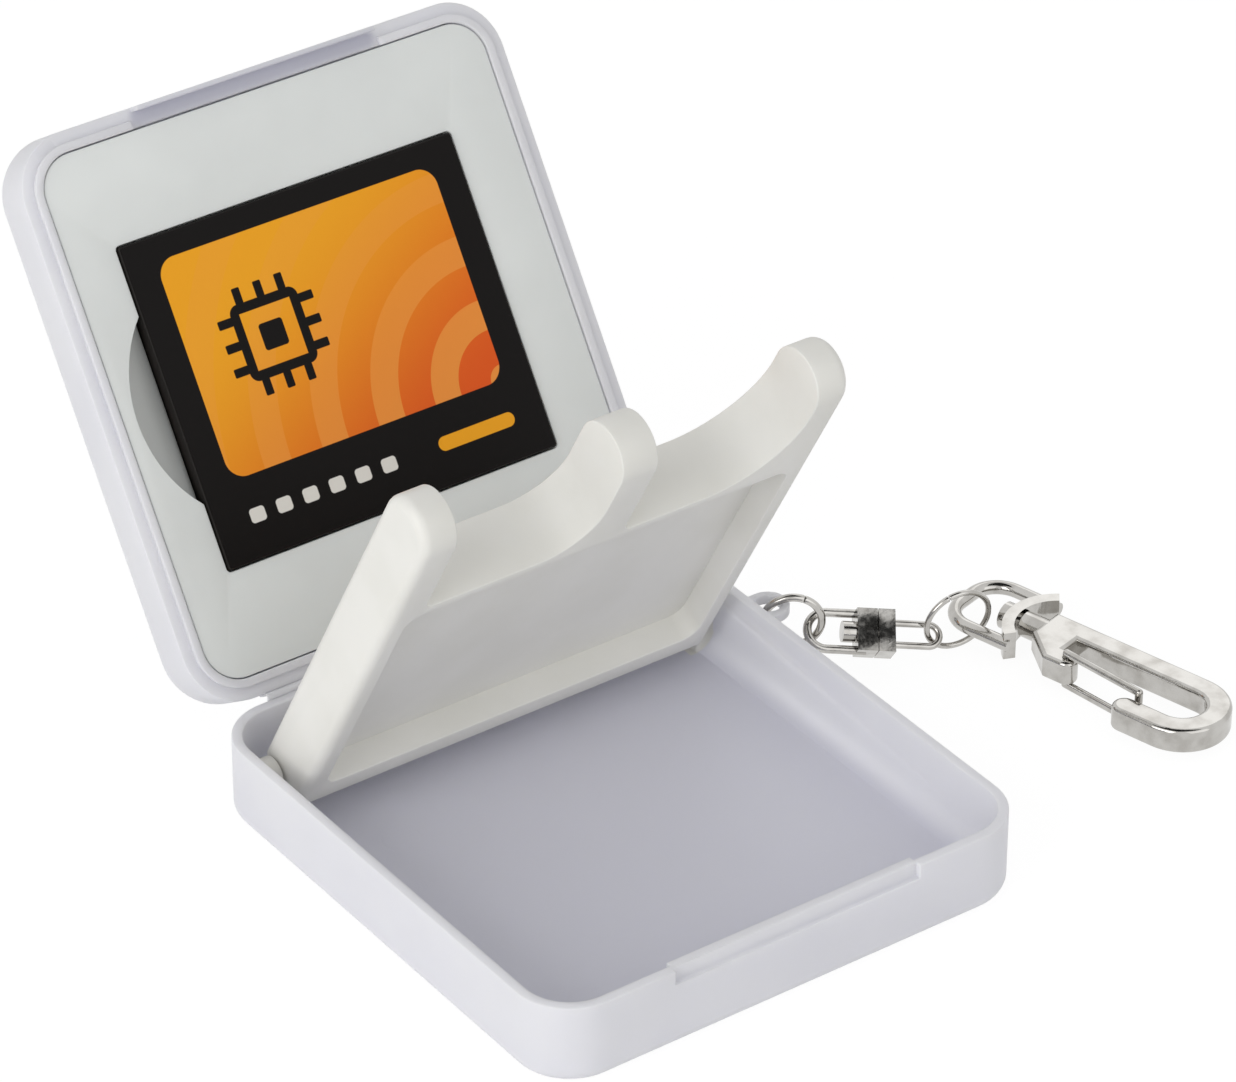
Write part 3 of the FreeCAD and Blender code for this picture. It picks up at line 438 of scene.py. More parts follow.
@dataclass(frozen=True)
class TrayPlastic(FrostedPlastic):
    """The same plastic on the tray, with painted shade on its floor, white at the lugs and with ejector
    marks.
    """

    name: str = "milky_tray"
    # Painted shade: a greyer colour low inside the rim, where the lid and leaf shade the tray's floor.
    floor: Colour = screen(223, 223, 234)
    floor_shade_half: Pair = (29.4 * MM, 30.5 * MM)
    floor_shade_corner: float = 5.4 * MM
    floor_shade_fade: float = 2.2 * MM
    floor_shade_low: float = 1.5 * MM
    floor_shade_high: float = 4.4 * MM
    lug: Colour = screen(233, 232, 227)
    lug_middle: Pair = (24.72 * MM, 4.0 * MM)
    lug_half: Pair = (2.2 * MM, 4.4 * MM)
    lug_span: Pair = (26.2 * MM, 29.5 * MM)
    lug_fade: float = 0.2 * MM
    mark_step: Pair = (19 * MM, 17 * MM)
    mark_shift: float = 4.25 * MM
    mark_radius: float = 2.1 * MM
    mark_line: float = 0.14 * MM
    mark_height: float = 2.5

    def tint(self, graph: Graph) -> Signal:
        """Clouded base colour with painted shade on the floor and the whiter pivot lugs."""
        place = graph.place()
        across = place.along(Vector((1, 0, 0)))
        upward = place.along(Vector((0, 1, 0)))
        height = place.along(Vector((0, 0, 1)))
        rim = plate_distance(across, upward, (0.0, 0.0), self.floor_shade_half, self.floor_shade_corner)
        # Painted shade mask: 1 inside the rim and low down on the floor.
        inside = rim.ramp(0.0, -self.floor_shade_fade) * height.ramp(self.floor_shade_high, self.floor_shade_low)
        colour = graph.blend(inside, super().tint(graph), self.floor)
        lug = plate_distance(upward, height, self.lug_middle, self.lug_half, self.lug_half[0])
        near, far = self.lug_span
        beside = abs(across).ramp(near, near + self.lug_fade) * abs(across).ramp(far, far - self.lug_fade)
        return graph.blend(lug.ramp(self.lug_fade, -self.lug_fade) * beside, colour, self.lug)

    def relief(self, graph: Graph) -> Signal:
        """Mould grain with four round ejector marks."""
        place = graph.place()
        across = abs(place.along(Vector((1, 0, 0)))) - self.mark_step[0]
        upward = abs(place.along(Vector((0, 1, 0))) + self.mark_shift) - self.mark_step[1]
        rim = abs((across**2 + upward**2).root() - self.mark_radius)
        return super().relief(graph) - self.mark_height * rim.ramp(self.mark_line, 0.0)


@dataclass(frozen=True)
class LidPlastic(FrostedPlastic):
    """The same plastic on the lid, with painted shade in a grey band along the front rim."""

    name: str = "milky_lid"
    # Painted shade: this grey stands in for the shade in the notch and under the thin see-through tab at
    # the front rim.
    latch_painted_shade: Colour = screen(202, 202, 214)
    latch_middle: Pair = (0.0, -30.7 * MM)
    latch_half: Pair = (15.6 * MM, 1.0 * MM)
    latch_fade: float = 0.7 * MM
    latch_low: float = 10.4 * MM
    latch_high: float = 11.8 * MM

    def tint(self, graph: Graph) -> Signal:
        """Clouded base colour with the painted shade band at the front rim, placed as on the shut lid."""
        place = graph.place()
        shut_place = LID_HINGE.opened().inverted()
        axes = [Vector(shut_place[row][:3]) for row in range(3)]
        across, deep, height = (place.along(axis) + shut_place[row][3] for row, axis in enumerate(axes))
        band = plate_distance(across, deep, self.latch_middle, self.latch_half, self.latch_half[1])
        share = band.ramp(self.latch_fade, -self.latch_fade) * height.ramp(self.latch_high, self.latch_low)
        # Painted shade along the front rim band.
        return graph.blend(share, super().tint(graph), self.latch_painted_shade)


@dataclass(frozen=True)
class WhitePlastic(Finish):
    """Satin off-white plastic."""

    name: str = "satin_white"
    slot: Slot = Slot.WHITE
    pale: Colour = screen(233, 232, 227)
    deep: Colour = screen(228, 227, 221)
    roughness: float = 0.46
    gloss_span: float = 0.2
    index: float = 1.48
    milk: float = 0.12
    milk_colour: Colour = (1.0, 0.95, 0.85)
    milk_depth: float = 1.2 * MM
    grain: Grain = Grain(0.3 * MM)
    grain_depth: float = 0.014 * MM
    grain_share: float = 0.4
    cloud: Grain = Grain(11 * MM, 3.0)
    cloud_range: Pair = (0.3, 0.7)
    rub: Grain = Grain(3 * MM, 5.0, (1.0, 0.35, 0.35))

    def paint(self, graph: Graph) -> None:
        """Slightly uneven tint and gloss over a fine grain."""
        cloud = graph.noise(self.cloud)
        grain = graph.noise(self.grain)
        rubs = graph.noise(self.rub)
        graph.surface(
            Base_Color=graph.blend(cloud.ramp(*self.cloud_range), self.pale, self.deep),
            Roughness=self.roughness + (rubs - NOISE_MIDDLE) * self.gloss_span,
            IOR=self.index,
            Subsurface_Weight=self.milk,
            Subsurface_Radius=self.milk_colour,
            Subsurface_Scale=self.milk_depth,
            Normal=graph.bump(grain, self.grain_depth, self.grain_share),
        )


@dataclass(frozen=True)
class PanelPlastic(WhitePlastic):
    """The same plastic on the lid's panel, a little greener."""

    name: str = "satin_panel"
    pale: Colour = screen(227, 230, 228)
    deep: Colour = screen(223, 226, 224)


@dataclass(frozen=True)
class Nickel(Finish):
    """Polished nickel plate with fine rub marks."""

    name: str = "polished_nickel"
    slot: Slot = Slot.NICKEL
    bright: Colour = screen(192, 190, 186)
    dull: Colour = screen(164, 161, 156)
    roughness: float = 0.08
    patch: Grain = Grain(2.4 * MM, 4.0)
    patch_range: Pair = (0.35, 0.8)
    rub: Grain = Grain(0.5 * MM, 5.0, (1.0, 1.0, 0.25))
    rub_start: float = 0.45
    rub_gloss: float = 0.3
    rub_share: float = 0.02
    wave: Grain = Grain(5 * MM, 1.0)
    wave_depth: float = 0.22 * MM

    def paint(self, graph: Graph) -> None:
        """Plate that is duller in patches, with rub marks."""
        patches = graph.noise(self.patch)
        rubs = graph.noise(self.rub)
        waves = graph.noise(self.wave)
        graph.surface(
            Base_Color=graph.blend(patches.ramp(*self.patch_range), self.bright, self.dull),
            Metallic=1.0,
            Roughness=self.roughness + (rubs - self.rub_start).most(0.0) * self.rub_gloss,
            Normal=graph.bump(waves + rubs * self.rub_share, self.wave_depth, 1.0),
        )


@dataclass(frozen=True)
class BlackPlastic(Finish):
    """Matt black plastic of the memory card's frame."""

    name: str = "matt_black"
    slot: Slot = Slot.CARD_BLACK
    dark: Colour = screen(26, 23, 21)
    worn: Colour = screen(42, 39, 37)
    roughness: float = 0.5
    gloss_span: float = 0.2
    gleam: float = 0.2
    speck: Grain = Grain(0.6 * MM, 4.0)
    speck_range: Pair = (0.5, 0.85)
    grain: Grain = Grain(0.18 * MM)
    grain_depth: float = 0.015 * MM
    grain_share: float = 0.4

    def paint(self, graph: Graph) -> None:
        """Dark tint with pale specks and a fine grain."""
        specks = graph.noise(self.speck)
        grain = graph.noise(self.grain)
        graph.surface(
            Base_Color=graph.blend(specks.ramp(*self.speck_range), self.dark, self.worn),
            Roughness=self.roughness + (specks - NOISE_MIDDLE) * self.gloss_span,
            Specular_IOR_Level=self.gleam,
            Normal=graph.bump(grain, self.grain_depth, self.grain_share),
        )


@dataclass(frozen=True)
class BrushedSteel(Finish):
    """Brushed sheet steel of the memory card's covers."""

    name: str = "brushed_steel"
    slot: Slot = Slot.CARD_METAL
    bright: Colour = screen(200, 201, 203)
    dull: Colour = screen(160, 161, 164)
    roughness: float = 0.3
    gloss_span: float = 0.25
    line: Grain = Grain(0.12 * MM, 3.0, (0.02, 1.0, 1.0))
    line_depth: float = 0.008 * MM
    line_share: float = 0.4

    def paint(self, graph: Graph) -> None:
        """Fine lines along the card."""
        lines = graph.noise(self.line)
        graph.surface(
            Base_Color=graph.blend(lines, self.bright, self.dull),
            Metallic=1.0,
            Roughness=self.roughness + (lines - NOISE_MIDDLE) * self.gloss_span,
            Normal=graph.bump(lines, self.line_depth, self.line_share),
        )


@dataclass(frozen=True)
class PrintedLabel(Finish):
    """Dark printed film with an orange field, quarter rings, a chip sign and a row of bars."""

    name: str = "printed_film"
    slot: Slot = Slot.CARD_PRINT
    middle: Triple = (-0.9 * MM, 50.05 * MM, 36.96 * MM)
    roughness: float = 0.4
    gloss_span: float = 0.2
    gleam: float = 0.1
    film: Grain = Grain(0.25 * MM)
    film_depth: float = 0.004 * MM
    film_share: float = 0.3
    dark: Colour = screen(16, 13, 12)
    yellow: Colour = screen(244, 168, 38)
    red: Colour = screen(228, 92, 34)
    soft: Colour = screen(243, 160, 72)
    pale: Colour = screen(226, 223, 216)
    field_middle: Pair = (0.0, 3.1 * MM)
    field_half: Pair = (17.8 * MM, 12.4 * MM)
    field_corner: float = 2.2 * MM
    fade_slant: float = 0.6
    fade_range: Pair = (-16 * MM, 19 * MM)
    ring_middle: Pair = (17.8 * MM, -9.3 * MM)
    ring_step: float = 7.4 * MM
    ring_half: float = 1.7 * MM
    ring_least: float = 0.2
    ring_gain: float = 0.6
    chip_middle: Pair = (-7.2 * MM, 4.0 * MM)
    chip_half: float = 4.3 * MM
    chip_line: float = 1.1 * MM
    chip_core: float = 1.5 * MM
    chip_corner: float = 1 / 3
    leg_step: float = 2.7 * MM
    leg_half: Pair = (0.5 * MM, 0.95 * MM)
    leg_reach: float = 5.1 * MM
    bar_middle: Pair = (-7.6 * MM, -13.6 * MM)
    bar_half: Pair = (0.95 * MM, 0.8 * MM)
    bar_step: float = 3.4 * MM
    bar_count: int = 6
    tab_middle: Pair = (12.4 * MM, -13.6 * MM)
    tab_half: Pair = (5.0 * MM, 0.8 * MM)

    def paint(self, graph: Graph) -> None:
        """Lay the colours over each other and add the film's gloss."""
        place = graph.place()
        turn = LID_HINGE.opened().to_3x3()
        wide = turn @ Vector((1, 0, 0))
        tall = turn @ Vector((0, -1, 0))
        across = place.along(wide) - Vector(self.middle).dot(wide)
        upward = place.along(tall) - Vector(self.middle).dot(tall)
        film = graph.noise(self.film)
        field = plate_distance(across, upward, self.field_middle, self.field_half, self.field_corner)
        colour = graph.blend(field.printed(), self.dark, self.field_colour(graph, across, upward))
        colour = graph.blend(self.chip(across, upward), colour, self.dark)
        colour = graph.blend(self.bars(across, upward), colour, self.pale)
        tab = plate_distance(across, upward, self.tab_middle, self.tab_half, self.tab_half[1])
        colour = graph.blend(tab.printed(), colour, self.yellow)
        graph.surface(
            Base_Color=colour,
            Roughness=self.roughness + (film - NOISE_MIDDLE) * self.gloss_span,
            Specular_IOR_Level=self.gleam,
            Normal=graph.bump(film, self.film_depth, self.film_share),
        )

    def field_colour(self, graph: Graph, across: Signal, upward: Signal) -> Signal:
        """Colour of the orange field: a slanted fade with wide quarter rings.

        Args:
            graph: the tree.
            across: place along the card's width.
            upward: place along its height.

        Returns:
            The colour.
        """
        slant = (across * self.fade_slant - upward).ramp(*self.fade_range)
        fade = graph.blend(slant, self.yellow, self.red)
        side = across - self.ring_middle[0]
        rise = upward - self.ring_middle[1]
        away = (side**2 + rise**2).root()
        rings = (abs(away.repeated(self.ring_step)) - self.ring_half).printed()
        return graph.blend(rings * (self.ring_least + self.ring_gain * slant), fade, self.soft)

    def chip(self, across: Signal, upward: Signal) -> Signal:
        """Sign of a chip: a square ring, its core and its legs.

        Args:
            across: place along the card's width.
            upward: place along its height.

        Returns:
            1 where the sign is.
        """
        side = abs(across - self.chip_middle[0])
        rise = abs(upward - self.chip_middle[1])
        half = (self.chip_half, self.chip_half)
        core = (self.chip_core, self.chip_core)
        outline = plate_distance(side, rise, (0.0, 0.0), half, self.chip_line)
        sign = (abs(outline + self.chip_line / 2) - self.chip_line / 2).printed()
        core_corner = self.chip_line * self.chip_corner
        leg_corner = self.leg_half[0] * self.chip_corner
        sign = sign.most(plate_distance(side, rise, (0.0, 0.0), core, core_corner).printed())
        for step in (0.0, self.leg_step):
            for first, second in ((side, rise), (rise, side)):
                middle = (step, self.leg_reach)
                leg = plate_distance(first, second, middle, self.leg_half, leg_corner)
                sign = sign.most(leg.printed())
        return sign

    def bars(self, across: Signal, upward: Signal) -> Signal:
        """Row of small bars in the dark foot.

        Args:
            across: place along the card's width.
            upward: place along its height.

        Returns:
            1 where the bars are.
        """
        reach = self.bar_step * self.bar_count / 2
        side = across - self.bar_middle[0]
        step = (side - reach - self.bar_step / 2).repeated(self.bar_step)
        bar = plate_distance(step, upward, (0.0, self.bar_middle[1]), self.bar_half, self.bar_half[1] / 2)
        return bar.printed() * (abs(side) - reach).printed()


def finish_mesh(mesh: bpy.types.Mesh) -> None:
    """Smooth shading with sharp creases."""
    mesh.shade_smooth()
    mesh.set_sharp_from_angle(angle=CREASE)


def new_piece(name: str, work: bmesh.types.BMesh) -> bpy.types.Object:
    """Object of a finished bmesh.

    Args:
        name: name of the piece.
        work: its mesh, which is freed.

    Returns:
        The piece.
    """
    bmesh.ops.recalc_face_normals(work, faces=work.faces)
    if work.calc_volume(signed=True) < 0:
        bmesh.ops.reverse_faces(work, faces=work.faces)
    mesh = bpy.data.meshes.new(name)
    work.to_mesh(mesh)
    work.free()
    finish_mesh(mesh)
    piece = bpy.data.objects.new(name, mesh)
    bpy.context.scene.collection.objects.link(piece)
    return piece


def round_edges(piece: bpy.types.Object, radius: float, steps: int) -> None:
    """Round the marked edges of a piece for good.

    Args:
        piece: the piece.
        radius: how far the rounding reaches from each edge.
        steps: faces across the rounding.
    """
    bevel = piece.modifiers.new("soft_edges", "BEVEL")
    bevel.width = radius
    bevel.segments = steps
    bevel.use_clamp_overlap = False
    bevel.limit_method = "WEIGHT"
    graph = bpy.context.evaluated_depsgraph_get()
    rounded = bpy.data.meshes.new_from_object(piece.evaluated_get(graph))
    piece.modifiers.clear()
    piece.data = rounded
    finish_mesh(rounded)


def soft_copy(nodes: Nodes, node: str, name: str, radius: float, steps: int = 3) -> bpy.types.Object:
    """Copy of a solid with its sharp outer edges rounded off.

    Args:
        nodes: the solids by name.
        node: the solid to copy.
        name: name of the piece.
        radius: how far the rounding reaches from each edge.
        steps: faces across the rounding.

    Returns:
        The piece.
    """
    work = bmesh.new()
    work.from_mesh(nodes[node].data)
    bmesh.ops.remove_doubles(work, verts=work.verts, dist=WELD)
    bmesh.ops.dissolve_degenerate(work, dist=WELD, edges=work.edges)
    bmesh.ops.dissolve_limit(work, angle_limit=FLAT, verts=work.verts, edges=work.edges)
    weight = work.edges.layers.float.new("bevel_weight_edge")
    for edge in work.edges:
        sharp = edge.is_manifold and edge.is_convex and edge.calc_face_angle() > SHARP
        edge[weight] = 1.0 if sharp else 0.0
    piece = new_piece(name, work)
    round_edges(piece, radius, steps)
    return piece


class SubAssembly:
    """Pieces that are built and dressed together."""

    def dress(self, piece: bpy.types.Object, finish: Finish) -> None:
        """Give the whole piece one finish."""
        piece.data.materials.clear()
        piece.data.materials.append(material_of(finish))
        LOG.info("%s is dressed in %s", piece.name, finish.name)

    def put(self, piece: bpy.types.Object, body: str, node: str, finish: Finish) -> None:
        """Dress a new piece that moves with a body and stands for a solid.

        Args:
            piece: the piece.
            body: the body it rides on.
            node: the solid it replaces.
            finish: its finish.
        """
        self.dress(piece, finish)
        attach(piece, body)
        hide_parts(node)

    def build(self, nodes: Nodes) -> None:
        """Make the pieces."""
        raise NotImplementedError


@dataclass
class Tray(SubAssembly):
    """Lower half of the case."""

    edge: float = 0.15 * MM

    def build(self, nodes: Nodes) -> None:
        """Tray with soft edges."""
        self.put(soft_copy(nodes, "base_shell", "tray", self.edge), "base", "base_shell", TrayPlastic())


@dataclass
class Lid(SubAssembly):
    """Upper half of the case with the panel that holds the memory card."""

    edge: float = 0.12 * MM
    panel_edge: float = 0.12 * MM

    def build(self, nodes: Nodes) -> None:
        """Lid and panel with soft edges."""
        self.put(soft_copy(nodes, "lid_shell", "lid", self.edge), "lid", "lid_shell", LidPlastic())
        panel = soft_copy(nodes, "lid_insert", "lid_panel", self.panel_edge)
        self.put(panel, "lid", "lid_insert", PanelPlastic())


@dataclass
class HingeStrip(SubAssembly):
    """Thin bending strip between tray and lid."""

    half_length: float = 23 * MM
    thick: float = 0.3 * MM
    thin: float = 0.2 * MM
    offset: float = 0.3 * MM
    flange: float = 1.4 * MM
    flange_steps: int = 4
    bend_steps: int = 14
    length_steps: int = 24
    end_round: float = 0.07 * MM
    blend_start: Triple = (0.0, 32.05 * MM, 9.7 * MM)
    blend_end: Triple = (0.0, 32.45 * MM, 10.05 * MM)

    def outline(self) -> list[tuple[Vector, Vector, float]]:
        """Middle line of the strip with its outward direction and its thickness.

        Returns:
            Points from the tray to the lid.
        """
        hinge = LID_HINGE.point()
        opened = LID_HINGE.opened()
        rows = []
        for step in range(self.flange_steps):
            height = self.flange * (step / self.flange_steps - 1)
            rows.append((hinge + Vector((0, -self.offset, height)), Vector((0, -1, 0)), self.thick))
        for step in range(self.bend_steps + 1):
            share = step / self.bend_steps
            turned = math.radians(180 - LID_HINGE.angle * share)
            outward = Vector((0.0, math.cos(turned), math.sin(turned)))
            waist = self.thick - (self.thick - self.thin) * math.sin(math.pi * share)
            rows.append((hinge + outward * self.offset, outward, waist))
        outward = opened.to_3x3() @ Vector((0, -1, 0))
        for step in range(1, self.flange_steps + 1):
            height = self.flange * step / self.flange_steps
            rows.append((opened @ (hinge + Vector((0, -self.offset, height))), outward, self.thick))
        return rows

    def stations(self) -> list[Pair]:
        """Places along the strip and how far each side draws in there, at the rounded ends."""
        reach = self.half_length - self.end_round
        inner = [(reach * (2 * step / self.length_steps - 1), 0.0) for step in range(self.length_steps + 1)]
        return [(-self.half_length, self.end_round), *inner, (self.half_length, self.end_round)]

    def build(self, nodes: Nodes) -> None:
        """Strip with a thinner waist, built bent to the lid's open angle."""
        work = bmesh.new()
        rows = self.outline()
        sections = []
        for across, inset in self.stations():
            ring = []
            for sign in (1, -1):
                for middle, outward, thick in rows[::sign]:
                    point = middle + outward * sign * (thick / 2 - inset)
                    ring.append(work.verts.new(point + Vector((across, 0, 0))))
            sections.append(ring)
        count = len(sections[0])
        for first, second in zip(sections, sections[1:]):
            for corner in range(count):
                after = (corner + 1) % count
                work.faces.new((first[corner], first[after], second[after], second[corner]))
        for ring in (sections[0], sections[-1]):
            for corner in range(count // 2 - 1):
                opposite = count - 1 - corner
                work.faces.new((ring[corner], ring[corner + 1], ring[opposite - 1], ring[opposite]))
        strip = new_piece("hinge_strip", work)
        self.dress(strip, FrostedPlastic())
        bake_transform(strip)
        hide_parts("living_hinge")


@dataclass
class CardLeaf(SubAssembly):
    """Swinging leaf with three prongs."""

    edge: float = 0.16 * MM
    steps: int = 4

    def build(self, nodes: Nodes) -> None:
        """Leaf with soft edges."""
        leaf = soft_copy(nodes, "card_leaf", "leaf", self.edge, self.steps)
        self.put(leaf, "leaf", "card_leaf", WhitePlastic())


@dataclass
class MemoryCard(SubAssembly):
    """Large memory card in the lid."""

    frame_edge: float = 0.06 * MM
    frame_steps: int = 2
    socket_low: Triple = (-19.9 * MM, 14.6 * MM, 10.15 * MM)
    socket_high: Triple = (18.1 * MM, 17.95 * MM, 11.95 * MM)
    pins: int = 25
    pin_rows: int = 2
    pin_step: float = 1.27 * MM
    pin_hole: float = 0.62 * MM
    row_step: float = 0.95 * MM
    hole_depth: float = 2.4 * MM

    def build(self, nodes: Nodes) -> None:
        """Frame with soft edges, covers, printed label and the socket block."""
        frame = soft_copy(nodes, "card_frame", "card_body", self.frame_edge, self.frame_steps)
        self.put(frame, "card", "card_frame", BlackPlastic())
        self.put(self.socket(), "card", "card_connector", BlackPlastic())
        for node in ("card_front_cover", "card_back_cover"):
            self.dress(nodes[node], BrushedSteel())
        self.dress(nodes["card_label"], PrintedLabel())

    def socket(self) -> bpy.types.Object:
        """Socket block with two rows of square pin holes.

        Returns:
            The piece.
        """
        low = Vector(self.socket_low)
        high = Vector(self.socket_high)
        middle = (low + high) / 2
        stops_x = self.stops(low.x, high.x, middle.x, self.pins, self.pin_step)
        stops_z = self.stops(low.z, high.z, middle.z, self.pin_rows, self.row_step)
        front = high.y
        work = bmesh.new()
        for column, (left, right) in enumerate(zip(stops_x, stops_x[1:])):
            for row, (under, over) in enumerate(zip(stops_z, stops_z[1:])):
                rim = [(left, under), (right, under), (right, over), (left, over)]
                if column % 2 and row % 2:
                    bottom = front - self.hole_depth
                    self.patch(work, [(x, bottom, z) for x, z in rim])
                    for (x0, z0), (x1, z1) in zip(rim, rim[1:] + rim[:1]):
                        wall = [(x0, front, z0), (x1, front, z1), (x1, bottom, z1), (x0, bottom, z0)]
                        self.patch(work, wall)
                else:
                    self.patch(work, [(x, front, z) for x, z in rim])
        back = low.y
        for stops, fixed in ((stops_x, (low.z, high.z)), (stops_z, (low.x, high.x))):
            for start, end in zip(stops, stops[1:]):
                for level in fixed:
                    ends = [(start, front), (end, front), (end, back), (start, back)]
                    strip = [(along, deep, level) for along, deep in ends]
                    if stops is stops_z:
                        strip = [(level, deep, along) for along, deep in ends]
                    self.patch(work, strip)
        edge = [(x, low.z) for x in stops_x] + [(high.x, z) for z in stops_z[1:]]
        edge += [(x, high.z) for x in stops_x[-2::-1]] + [(low.x, z) for z in stops_z[-2:0:-1]]
        self.patch(work, [(x, back, z) for x, z in edge])
        bmesh.ops.remove_doubles(work, verts=work.verts, dist=WELD)
        work.transform(LID_HINGE.opened())
        return new_piece("card_socket", work)

    def stops(self, low: float, high: float, middle: float, count: int, step: float) -> list[float]:
        """Edges of a row of holes, with the block's two ends.

        Args:
            low: one end.
            high: the other end.
            middle: middle of the row.
            count: number of holes.
            step: distance from hole to hole.

        Returns:
            The edges in order.
        """
        found = [low]
        for index in range(count):
            centre = middle + (index - (count - 1) / 2) * step
            found += [centre - self.pin_hole / 2, centre + self.pin_hole / 2]
        return found + [high]

    def patch(self, work: bmesh.types.BMesh, corners: list[Triple]) -> None:
        """Add one face with points of its own."""
        work.faces.new([work.verts.new(corner) for corner in corners])


@dataclass
class JumpRing(SubAssembly):
    """Wire ring that is closed at a butt seam."""

    name: str
    node: str
    body: str
    centre: Triple
    heading: float
    tilt: float
    radius: float
    wire: float
    seam: float
    seam_gap: float = 0.07 * MM
    end_round: float = 0.1 * MM
    # Share of the way along each end's rounding, and share of it that is taken off the wire there.
    end_profile: tuple[Pair, ...] = ((0.0, 1.0), (1 / 3, 1 / 4))
    sections: int = 120
    facets: int = 24

    def build(self, nodes: Nodes) -> None:
        """Tube around the ring with two rounded ends at the seam."""
        yaw = Matrix.Rotation(math.radians(self.heading), 4, "Z")
        turn = yaw @ Matrix.Rotation(math.radians(90 + self.tilt), 4, "X")
        stand = Matrix.Translation(Vector(self.centre)) @ turn
        half_gap = self.seam_gap / 2 / self.radius
        soft = self.end_round / self.radius
        start = math.radians(self.seam) + half_gap
        span = math.tau - 2 * half_gap
        angles = []
        for along, off in self.end_profile:
            angles.append((start + soft * along, self.wire - self.end_round * off))
        for step in range(self.sections + 1):
            angles.append((start + soft + (span - 2 * soft) * step / self.sections, self.wire))
        ends = angles[: len(self.end_profile)]
        angles += [(2 * start + span - angle, wire) for angle, wire in reversed(ends)]
        work = bmesh.new()
        rings = []
        for angle, wire in angles:
            outward = Vector((math.cos(angle), math.sin(angle), 0.0))
            ring = []
            for facet in range(self.facets):
                around = math.tau * facet / self.facets
                reach = self.radius + wire * math.cos(around)
                point = outward * reach + Vector((0.0, 0.0, wire * math.sin(around)))
                ring.append(work.verts.new(stand @ point))
            rings.append(ring)
        for first, second in zip(rings, rings[1:]):
            for facet in range(self.facets):
                after = (facet + 1) % self.facets
                work.faces.new((first[facet], first[after], second[after], second[facet]))
        work.faces.new(rings[0])
        work.faces.new(rings[-1])
        self.put(new_piece(self.name, work), self.body, self.node, Nickel())


@dataclass
class Chain(SubAssembly):
    """Two rings and the swivel between them."""

    rings: list[JumpRing] = field(
        default_factory=lambda: [
            JumpRing(
                name="ring_at_eyelet",
                node="chain_ring_1",
                body="ring_1",
                centre=(35.3039 * MM, 16.1195 * MM, 5.8328 * MM),
                heading=-33.3,
                tilt=3.5,
                radius=3.28 * MM,
                wire=0.45 * MM,
                seam=68.0,
            ),
            JumpRing(
                name="ring_at_clasp",
                node="chain_ring_2",
                body="ring_2",
                centre=(51.9133 * MM, 7.7173 * MM, 4.22 * MM),
                heading=-11.9,
                tilt=8.2,
                radius=3.78 * MM,
                wire=0.34 * MM,
                seam=112.0,
            ),
        ]
    )

    def build(self, nodes: Nodes) -> None:
        """Rings, both swivel halves and the rivet."""
        for ring in self.rings:
            ring.build(nodes)
        for node in ("swivel_loop_a", "swivel_loop_b", "swivel_rivet"):
            self.dress(nodes[node], Nickel())


@dataclass
class Clasp(SubAssembly):
    """Snap clasp at the chain's end."""

    gate_edge: float = 0.05 * MM
    gate_steps: int = 2

    def build(self, nodes: Nodes) -> None:
        """Eye, pin, hook and a gate with soft ends."""
        gate = soft_copy(nodes, "clasp_gate", "clasp_wire", self.gate_edge, self.gate_steps)
        self.put(gate, "gate", "clasp_gate", Nickel())
        for node in ("clasp_eye", "clasp_pin", "clasp_hook"):
            self.dress(nodes[node], Nickel())


@dataclass(frozen=True)
class Lamp:
    """Soft square lamp. One that does not spread lights no matt surface and only shows in the metal."""

    name: str
    place: Triple
    size: float
    power: float
    spreads: bool = True

    def hang(self, target: Vector) -> None:
        """Put the lamp in the scene, facing a target point."""
        data = bpy.data.lights.new(self.name, "AREA")
        data.size = self.size
        data.energy = self.power
        lit = bpy.data.objects.new(self.name, data)
        aim = target - Vector(self.place)
        lit.rotation_euler = aim.to_track_quat("-Z", "Y").to_euler()
        lit.location = self.place
        lit.visible_camera = False
        lit.visible_diffuse = self.spreads
        lit.visible_transmission = self.spreads
        bpy.context.scene.collection.objects.link(lit)


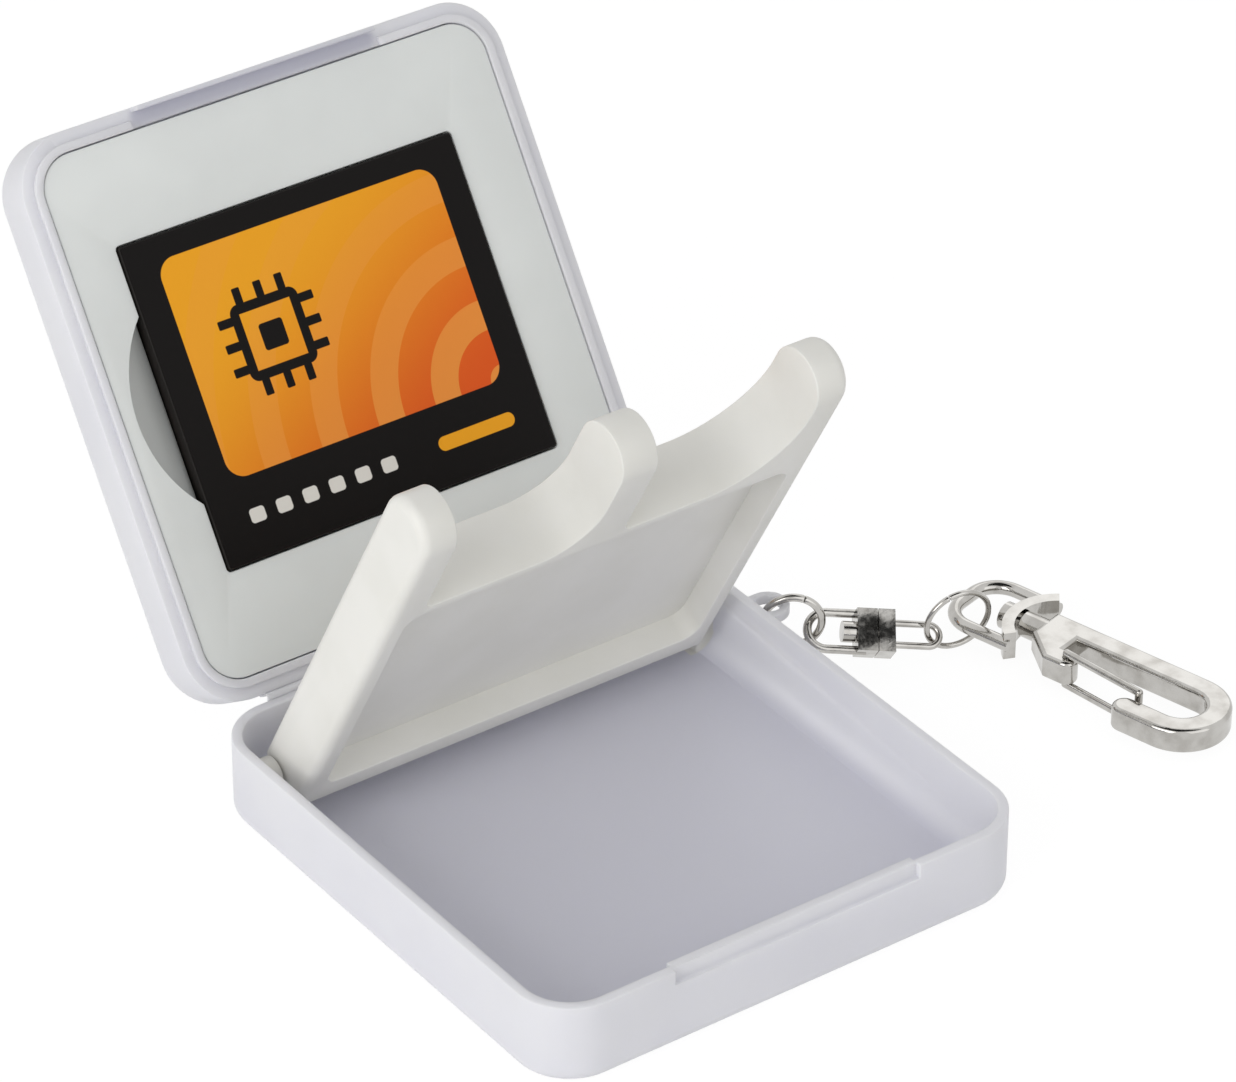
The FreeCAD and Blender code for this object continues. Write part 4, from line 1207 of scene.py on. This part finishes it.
@dataclass
class Studio:
    """White paper, soft lamps and the camera."""

    sky: float = 0.58
    paper: float = 0.9
    paper_glow: float = 0.86
    paper_white: float = 1.07
    paper_half: float = 6.0
    paper_drop: float = 0.1 * MM
    dark_place: Triple = (0.0, -0.05, 0.5)
    dark_half: float = 0.22
    dark_colour: Colour = (0.02, 0.02, 0.02)
    dark_roughness: float = 0.9
    aim: Triple = (0.0, 0.0, 0.03)
    lamps: tuple[Lamp, ...] = (
        Lamp("key_light", (-0.95, -0.25, 0.42), size=0.8, power=5.0),
        Lamp("front_light", (0.1, -1.0, 0.5), size=0.9, power=1.3),
        Lamp("gleam_light", (0.7, 0.52, 0.56), size=0.45, power=0.36, spreads=False),
    )
    image_width: float = 1236.0
    focal_pixels: float = 6509.4
    sensor: float = 36.0
    camera_place: Triple = (-327.5 * MM, -452.4 * MM, 408.7 * MM)
    camera_right: Triple = (0.8101, -0.5863, 0.0)
    camera_up: Triple = (0.3238, 0.4474, 0.8337)
    camera_back: Triple = (-0.4888, -0.6753, 0.5523)
    camera_roll: float = 0.0051
    clip_start: float = 0.01

    def build(self) -> None:
        """Set up everything around the case."""
        bpy.context.scene.view_settings.view_transform = "Standard"
        self.world()
        self.floor()
        for lamp in self.lamps:
            lamp.hang(Vector(self.aim))
        self.dark_card()
        self.camera()

    def seen_directly(self, graph: Graph) -> Signal:
        """1 for what the camera sees, also mirrored or through clear plastic, 0 for other light."""
        camera = graph.node("ShaderNodeLightPath", output="Is Camera Ray")
        mirror = graph.node("ShaderNodeLightPath", output="Is Glossy Ray")
        clear = graph.node("ShaderNodeLightPath", output="Is Transmission Ray")
        return camera.most(mirror).most(clear)

    def world(self) -> None:
        """White to look at, and a weak even light."""
        world = bpy.data.worlds.new("studio_world")
        bpy.context.scene.world = world
        graph = Graph(world)
        seen = self.seen_directly(graph)
        dim = graph.node("ShaderNodeBackground", {}, {"Color": WHITE, "Strength": self.sky})
        full = graph.node("ShaderNodeBackground", {}, {"Color": WHITE, "Strength": 1.0})
        mixed = graph.node("ShaderNodeMixShader", {}, {0: seen, 1: dim, 2: full})
        graph.node("ShaderNodeOutputWorld", {}, {"Surface": mixed})

    def floor(self) -> None:
        """Sheet of white paper that keeps the shadow."""
        paper = bpy.data.materials.new("studio_paper")
        graph = Graph(paper)
        seen = self.seen_directly(graph)
        matt = graph.node("ShaderNodeBsdfDiffuse", {}, {"Color": rgba((self.paper,) * 3)})
        glow = graph.node("ShaderNodeEmission", {}, {"Color": WHITE, "Strength": self.paper_white})
        mixed = graph.node("ShaderNodeMixShader", {}, {0: seen * self.paper_glow, 1: matt, 2: glow})
        graph.node("ShaderNodeOutputMaterial", {}, {"Surface": mixed})
        middle = (0.0, 0.0, -self.paper_drop)
        sheet = self.square("studio_floor", self.paper_half, middle, paper)

    def dark_card(self) -> None:
        """Dark card overhead that only shows in the metal, for contrast."""
        black = bpy.data.materials.new("studio_black")
        Graph(black).surface(Base_Color=rgba(self.dark_colour), Roughness=self.dark_roughness)
        card = self.square("studio_card", self.dark_half, self.dark_place, black)
        card.visible_camera = False
        card.visible_diffuse = False
        card.visible_transmission = False
        card.visible_shadow = False

    def square(
        self, name: str, half: float, middle: Triple, material: bpy.types.Material
    ) -> bpy.types.Object:
        """Level square sheet.

        Args:
            name: its name.
            half: half its width.
            middle: its middle.
            material: its material.

        Returns:
            The sheet.
        """
        corners = [(-half, -half), (half, -half), (half, half), (-half, half)]
        points = [Vector(middle) + Vector((x, y, 0.0)) for x, y in corners]
        mesh = bpy.data.meshes.new(name)
        mesh.from_pydata(points, [], [(0, 1, 2, 3)])
        mesh.materials.append(material)
        sheet = bpy.data.objects.new(name, mesh)
        bpy.context.scene.collection.objects.link(sheet)
        return sheet

    def camera(self) -> None:
        """Camera at the photograph's place and angle."""
        back = Vector(self.camera_back)
        side = (Vector(self.camera_right) + Vector(self.camera_up) * self.camera_roll).normalized()
        top = back.cross(side).normalized()
        turn = Matrix((side, top, back)).transposed().to_4x4()
        data = bpy.data.cameras.new("photo_camera")
        data.sensor_fit = "HORIZONTAL"
        data.sensor_width = self.sensor
        data.lens = self.focal_pixels * self.sensor / self.image_width
        data.clip_start = self.clip_start
        camera = bpy.data.objects.new("photo_camera", data)
        camera.matrix_world = Matrix.Translation(Vector(self.camera_place)) @ turn
        bpy.context.scene.collection.objects.link(camera)
        bpy.context.scene.camera = camera


def main() -> None:
    """Build every sub-assembly and the studio."""
    logging.basicConfig(level=logging.INFO)
    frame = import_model()
    for part in (Tray(), Lid(), HingeStrip(), CardLeaf(), MemoryCard(), Chain(), Clasp()):
        part.build(frame["nodes"])
        LOG.info("%s is built", type(part).__name__)
    Studio().build()


if __name__ == "__main__":
    main()
